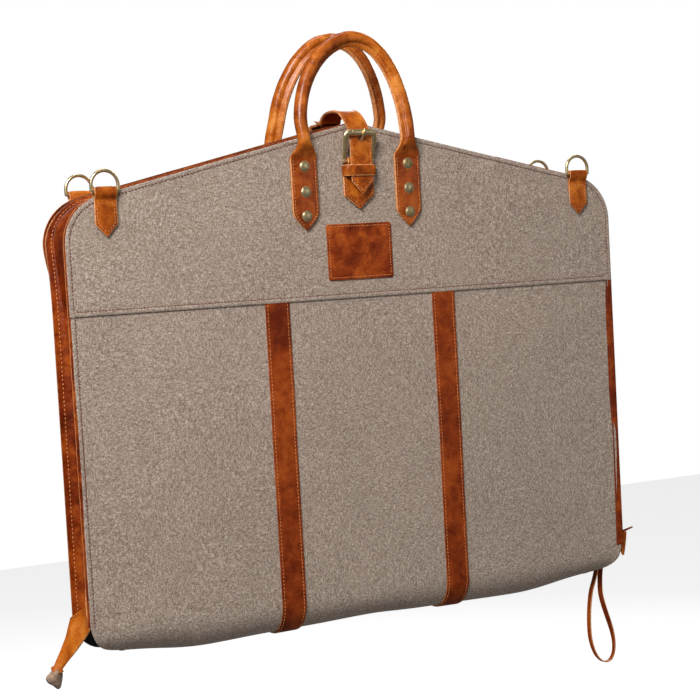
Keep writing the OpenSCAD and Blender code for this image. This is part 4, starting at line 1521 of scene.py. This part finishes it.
def frame_half_line(height):
    """The left half of the buckle's frame from its foot: X and height up the frame, and the bar's radius."""
    shares = np.linspace(0, 1, 9)
    line = [(-FRAME_HALF, share * (height - FRAME_CORNER_R)) for share in shares]
    radii = [(1.4 + 1.6 * share) * MM for share in shares]
    for a in np.linspace(170, 90, 8):
        turn = math.radians(a)
        line.append((
            -FRAME_HALF + FRAME_CORNER_R + FRAME_CORNER_R * math.cos(turn),
            height - FRAME_CORNER_R + FRAME_CORNER_R * math.sin(turn),
        ))
        radii.append(3.2 * MM)
    return line + [(-7 * MM, height), (-3.5 * MM, height)], radii + [3.2 * MM, 3.15 * MM]


def make_buckle():
    """A cast frame with rounded top corners and side bars that taper down to the hinge bar, and its prong."""
    height = np.linalg.norm(BUCKLE_TOP - BUCKLE_FOOT)
    way = (BUCKLE_TOP - BUCKLE_FOOT) / height
    left, radii = frame_half_line(height)
    outline = left + [(0, height)] + [(-x, h) for x, h in left[::-1]]
    line = [BUCKLE_FOOT + (x, 0, 0) + way * h for x, h in outline]
    shapes = [bar_shape(line, radii + [3.1 * MM] + radii[::-1], sides=16, flat=0.64)]
    hinge = [BUCKLE_FOOT + (x, 0, 0) for x in np.linspace(-FRAME_HALF, FRAME_HALF, 5)]
    shapes.append(bar_shape(hinge, [1.75 * MM] * 5, sides=14))
    shapes += [turned_on_x(BOSS_PROFILE, BUCKLE_FOOT + (x, 0, 0), 16) for x in (-FRAME_HALF, FRAME_HALF)]
    shapes.append(turned_on_x(COLLAR_PROFILE, BUCKLE_TOP + (-8.6 * MM, 0, 0), 20))
    make_metal("buckle_frame_cast", shapes, BRASS, "buckle_frame", ["buckle_frame"])
    route = [(0, -BAR_Y - 2.2 * MM, BAR_Z + 1 * MM)] + [tuple(k * MM for k in spot) for spot in PRONG_ROUTE]
    tongue = curve_through(route, 5) + (PRONG_X, 0, 0)
    count = len(tongue)
    thick = [(1.5 - 0.45 * (k / count) ** 3) * MM for k in range(count - 1)] + [0.5 * MM]
    prong = bar_shape(tongue, thick, up=(1, 0, 0))
    eye = turned_on_x(EYE_PROFILE, (PRONG_X, -BAR_Y, BAR_Z), 20)
    make_metal("buckle_prong_bent", [prong, eye], BRASS, "buckle_prong", ["buckle_prong"])


ANCHOR_TIP_Z = -78 * MM
ANCHOR_TOP_Z = -27 * MM
ANCHOR_STEP_Z = -36 * MM
ANCHOR_LIFT = 2.8 * MM
ANCHOR_W = 32 * MM
ANCHOR_T = 1.6 * MM


def make_strap_anchor():
    """The tab behind the bag that the closing strap is sewn under, raised over the strap's end."""
    ends = (15 * MM, 0)
    line = [
        (0, YOKE_Y + 0.1 * MM + (ANCHOR_LIFT if z > ANCHOR_STEP_Z else 0), z)
        for z in np.arange(ANCHOR_TIP_Z, ANCHOR_TOP_Z, 1.2 * MM)]
    line = curve_through(line[::3], 3)
    piece = ribbon("strap_anchor_leather", line, (1, 0, 0), 1, ANCHOR_W, ANCHOR_T, ends, wave=0.25 * MM)
    register(piece, "leather", "back_half", "strap_anchor")
    rows = ribbon_seam(line, (1, 0, 0), 1, ANCHOR_W, ANCHOR_T, ends)
    for z in (-42 * MM, -60 * MM):
        across = [(x, YOKE_Y + ANCHOR_T + 0.05 * MM, z) for x in np.linspace(-12 * MM, 12 * MM, 20)]
        rows.append(stitch_row(across, (0, 1, 0)))
    make_stitches("strap_anchor_stitches", rows, LEATHER_THREAD, "back_half")


make_buckle_tab()
make_closing_strap()
make_keeper()
make_buckle()
make_strap_anchor()

# ---- name patch, left blank ----

PATCH_LOW, PATCH_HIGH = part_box("name_patch")
PATCH_T = 1.7 * MM
PATCH_CORNER_R = 2 * MM
PATCH_SEAM = 2.6 * MM


def make_patch():
    half_w = (PATCH_HIGH.x - PATCH_LOW.x) / 2
    low_v, high_v = -PATCH_HIGH.z, -PATCH_LOW.z
    corners = []
    for side_x, v, first in ((1, high_v, 0), (-1, high_v, 90), (-1, low_v, 180), (1, low_v, 270)):
        centre_x = side_x * (half_w - PATCH_CORNER_R)
        centre_v = v - PATCH_CORNER_R if v == high_v else v + PATCH_CORNER_R
        for a in np.linspace(first, first + 90, 5):
            turn = math.radians(a)
            corners.append((
                centre_x + PATCH_CORNER_R * math.cos(turn), centre_v + PATCH_CORNER_R * math.sin(turn)))
    outline = resample(corners, 2.2 * MM, closed=True)
    under = yoke_place(-1)

    def place(x, v, height):
        """The leather lies on the yoke, with one slanting crease and a ridge beside it."""
        line_x = -9 * MM + 0.28 * (v - low_v)
        crease = -0.35 * MM * math.exp(-((x - line_x) / (0.7 * MM)) ** 2)
        crease += 0.3 * MM * math.exp(-((x - line_x - 1.6 * MM) / (1.2 * MM)) ** 2)
        return under(x, v, PATCH_T + height + crease * 0.8)

    piece, _ = sheet_from(
        "name_patch_leather", outline, place, lambda d: leather_height(d, PATCH_SEAM, 0.3 * MM),
        [k * MM for k in (0, 0.5, 1.2, 1.9, 2.6, 3.3, 4.4, 6)], 2.2 * MM, PATCH_T, [LEATHER_PATCH, RAW_EDGE],
        bevel=0.3 * MM, rim=1)
    register(piece, "leather", "front_half", "name_patch")
    seam_x, seam_low, seam_high = half_w - PATCH_SEAM, low_v + PATCH_SEAM, high_v - PATCH_SEAM
    ring = [(-seam_x, seam_low), (seam_x, seam_low), (seam_x, seam_high), (-seam_x, seam_high)]
    rows = []
    for start, end in zip(ring, ring[1:] + ring[:1]):
        line = [place(x, v, -0.15 * MM) for x, v in resample([start, end], 1.5 * MM)]
        rows.append(stitch_row(line, (0, -1, 0), pitch=3 * MM))
    make_stitches("name_patch_stitches", rows, LEATHER_THREAD, "front_half")


make_patch()

# ---- loose gusset ends at the fold ----


def loft(name, columns, thickness, materials, crumple=0.5 * MM, scale=50):
    """A crumpled sheet through a few columns of points in mm, smoothed both ways."""
    fine = [curve_through(np.array(column, float) * MM, 5) for column in columns]
    rows = [curve_through([column[i] for column in fine], 5) for i in range(len(fine[0]))]
    points = [
        spot + crumple * np.array(noise.noise_vector(Vector(spot) * scale)) for row in rows for spot in row]
    piece = make_mesh(name, points, grid_faces(len(rows), len(rows[0])), materials)
    thicken(piece, thickness, bevel=0.25 * MM, side=0)
    return piece, rows


def make_left_ear():
    """The gusset's loose end below its last cross seam, gathered towards a knot."""
    front = [(-300.2, -29.8, -422), (-300.8, -30.5, -446), (-299.5, -30.6, -459.5), (-307.5, -19, -477),
             (-316.5, -8, -492.5), (-322, -6, -499)]
    middle = [(-292, -9, -440), (-297.5, -13, -452), (-304.5, -13.5, -464), (-312, -10.5, -477),
              (-320, -7, -490), (-325.5, -6.5, -498.5)]
    back = [(-304.5, 8, -454), (-308, 6, -462), (-313, 1, -471), (-319, -2, -480), (-325, -3, -490),
            (-329, -4, -497.5)]
    piece, rows = loft("left_fold_ear_leather", [front, middle, back], LEATHER_T, [LEATHER_EAR_PAINTED_LIGHT, RAW_EDGE])
    finish_ear(piece, "left_fold_ear")
    seam = resample(rows[1], 1 * MM) + (-1.0 * MM, -0.4 * MM, 0)
    stitches = [stitch_row(seam, (-0.9, -0.4, 0), pitch=3 * MM, width=0.9 * MM)]
    blend_fold(make_stitches("left_fold_ear_stitches", stitches, DARK_THREAD, None))
    tail_left = [(-328, -4.5, -497), (-335, -4, -503), (-333.5, -4, -508), (-326, -4, -515)]
    tail_middle = [(-325, -8, -497.5), (-329, -10, -503), (-328, -8.5, -509), (-324.5, -4.5, -515.5)]
    tail_right = [(-321.5, -4.5, -498), (-319.5, -3, -503), (-320.3, -3, -508.5), (-322.6, -4, -514.5)]
    tail, _ = loft(
        "left_fold_tail", [tail_left, tail_middle, tail_right], 1.4 * MM, [FLESH, RAW_EDGE],
        crumple=0.9 * MM, scale=150)
    finish_ear(tail, "left_fold_ear")
    make_knot()


def make_knot():
    """Three turns of leather round the top of the tail, each thinner and lower than the last."""
    turns = np.linspace(0, 2 * math.pi, 14, endpoint=False)
    rings = []
    for k in range(3):
        ring = np.array([(
            -325.3 + 0.9 * k + 4.1 * math.cos(a), -4.8 + 3.2 * math.sin(a),
            -497.2 - 1.4 * k + 1.6 * math.sin(a + 0.9 * k) - 0.25 * (4.1 * math.cos(a))
        ) for a in turns]) * MM
        radii = [(1.25 - 0.2 * k) * MM] * len(turns)
        rings.append(bar_shape(ring, radii, sides=8, up=(0, 0.3, 1), closed=True))
    piece = make_mesh("left_fold_knot", *join_shapes(rings), [LEATHER_EAR_PAINTED_LIGHT])
    recalculate_outside(piece)
    finish_ear(piece, "left_fold_ear")


def make_right_ear():
    """The gusset's other loose end: a small wedge with its top edge rolled to a spike."""
    inner = [(297, -22, -446), (298.5, -25, -455), (300, -27, -464), (301.5, -27.5, -470)]
    middle = [(304, -24, -445), (303.5, -26, -455), (303, -27.5, -464), (302.6, -27.5, -470)]
    outer = [(311.5, -23, -446), (309.5, -24, -455), (306, -26, -464.5), (303.6, -27, -470.5)]
    piece, _ = loft("right_fold_ear_leather", [inner, middle, outer], 1.5 * MM, [LEATHER_EAR_PAINTED_LIGHT, RAW_EDGE])
    finish_ear(piece, "right_fold_ear")
    line = curve_through(
        np.array([(299, -22, -446.5), (305, -23.5, -444.8), (311, -23, -444), (316.5, -22.5, -442.8),
                  (320.5, -22.5, -442)]) * MM, 5)
    sizes = [(1.7 - 0.9 * k / len(line)) * MM for k in range(len(line))]
    points, faces = bar_shape(line, sizes, sides=8, up=(0, 1, 0.2))
    spike = make_mesh("right_fold_spike", points, faces, [LEATHER_DARK])
    recalculate_outside(spike)
    finish_ear(spike, "right_fold_ear")


def finish_ear(piece, node):
    blend_fold(register(piece, "leather", None, node))


make_left_ear()
make_right_ear()

# ---- zip ----

ZIP_X = HALF_W - 14 * MM
ZIP_Y = -1 * MM
ZIP_LOW_Z = -446 * MM
ZIP_HIGH_Z = -118 * MM
TAPE_W = 14 * MM
TAPE_T = 0.7 * MM
SLIDER_L = 14 * MM
TOOTH_PITCH = 2.4 * MM


def tooth_shape(z, side):
    """One cast tooth: a rounded block on the tape's edge with its head across the middle."""
    low, high = ZIP_X + 0.9 * MM, ZIP_X + 2.3 * MM
    root, head = ZIP_Y + side * 2.3 * MM, ZIP_Y - side * 0.5 * MM
    middle = (root + head) / 2
    points = []
    for x, size in ((low, 0.8), (high - 0.35 * MM, 0.8), (high, 0.5)):
        for y, wide in ((root, 0.75), (head, 0.55)):
            drawn_y = middle + (y - middle) * (0.6 + 0.4 * size / 0.8)
            points += [(x, drawn_y, z - wide * size * MM), (x, drawn_y, z + wide * size * MM)]
    faces = [(8, 9, 11, 10), (0, 2, 3, 1)]
    for level in (0, 4):
        loop = (0, 1, 3, 2)
        for k in range(4):
            a, b = level + loop[k], level + loop[(k + 1) % 4]
            faces.append((a, b, b + 4, a + 4))
    return points, faces


def make_zip():
    line = [(ZIP_X + 0.1 * MM, ZIP_Y, z) for z in np.arange(ZIP_LOW_Z, ZIP_HIGH_Z, 4 * MM)]
    tape = ribbon(
        "zip_tape_woven", line, (0, 1, 0), -1, TAPE_W, TAPE_T, seam=2 * MM, dome=0.0,
        materials=[ZIP_TAPE, ZIP_TAPE], bevel=0.0)
    register(tape, "zip_tape", "front_half", "zip_tape")
    rows = ribbon_seam(line, (0, 1, 0), -1, TAPE_W, TAPE_T, seam=1.6 * MM, pitch=3.4 * MM)
    make_stitches("zip_tape_stitches", rows, DARK_THREAD, "front_half", slot="zip_tape")
    teeth = []
    first = ZIP_LOW_Z + SLIDER_L + 1 * MM
    for k in range(int((ZIP_HIGH_Z - first) / TOOTH_PITCH * 2)):
        teeth.append(tooth_shape(first + k * TOOTH_PITCH / 2, 1 if k % 2 else -1))
    make_metal("zip_teeth_cast", teeth, ZIP_BRASS, "front_half", ["zip_teeth"], slot="zip_brass")


make_zip()
make_pull_loop()

# ---- finishes of the CAD pieces that show ----

SLOT_MATERIALS = {
    "canvas": CANVAS, "leather": LEATHER, "lining": LINING, "webbing": WEBBING, "zip_tape": ZIP_TAPE,
    "cord_core": CORD_CORE, "antique_brass": BRASS, "zip_brass": ZIP_BRASS,
}


def finish_cad_nodes():
    for part in frame["record"]["subparts"]:
        piece = nodes[part["node"]]
        piece.data.materials.clear()
        piece.data.materials.append(SLOT_MATERIALS[part["material_slot"]])
        piece.data.set_sharp_from_angle(angle=math.radians(35))


finish_cad_nodes()

# ---- studio ----

# Below the lowest point of the bag opened flat.
FLOOR_Z = -1.12
FLOOR_REACH = 4.0
LAMP_TARGET = Vector((0, 0, -0.2))
# Name, place, size in metres and power in watts.
LAMPS = (
    ("key", (-1.15, -1.2, 0.95), 0.7, 44),
    ("fill", (1.6, -2.2, 0.3), 1.6, 3),
    ("top", (0.1, 0.3, 1.9), 0.9, 9),
    ("back", (1.3, 1.8, 0.8), 1.0, 26),
)


def make_studio():
    scene = bpy.context.scene
    scene.view_settings.view_transform = "Standard"
    world = bpy.data.worlds.new("studio")
    scene.world = world
    world.use_nodes = True
    tree = world.node_tree
    background = tree.nodes["Background"]
    background.inputs["Color"].default_value = (1, 1, 1, 1)
    rays = tree.nodes.new("ShaderNodeLightPath").outputs
    soft = tree.nodes.new("ShaderNodeMapRange")
    soft.inputs["To Min"].default_value = 0.25
    soft.inputs["To Max"].default_value = 0.05
    tree.links.new(rays["Is Glossy Ray"], soft.inputs["Value"])
    seen = tree.nodes.new("ShaderNodeMath")
    seen.operation = "MAXIMUM"
    tree.links.new(rays["Is Camera Ray"], seen.inputs[0])
    tree.links.new(soft.outputs["Result"], seen.inputs[1])
    tree.links.new(seen.outputs[0], background.inputs["Strength"])
    corners = [(x * FLOOR_REACH, y * FLOOR_REACH, FLOOR_Z) for x, y in ((-1, -1), (1, -1), (1, 1), (-1, 1))]
    floor = make_mesh("floor", corners, [(0, 1, 2, 3)], [floor_material()], smooth=False)
    floor.visible_diffuse = False
    floor.visible_glossy = False
    for name, place, size, power in LAMPS:
        data = bpy.data.lights.new(name, "AREA")
        data.energy = power
        data.size = size
        lamp = bpy.data.objects.new(name, data)
        lamp.location = place
        aim = LAMP_TARGET - Vector(place)
        lamp.rotation_mode = "QUATERNION"
        lamp.rotation_quaternion = aim.to_track_quat("-Z", "Y")
        scene.collection.objects.link(lamp)


def floor_material():
    s = Shader("floor_pale")
    return s.finish(
        Base_Color=srgb((236, 236, 236)), Roughness=0.9, Emission_Color=(1, 1, 1, 1), Emission_Strength=0.62)


make_studio()
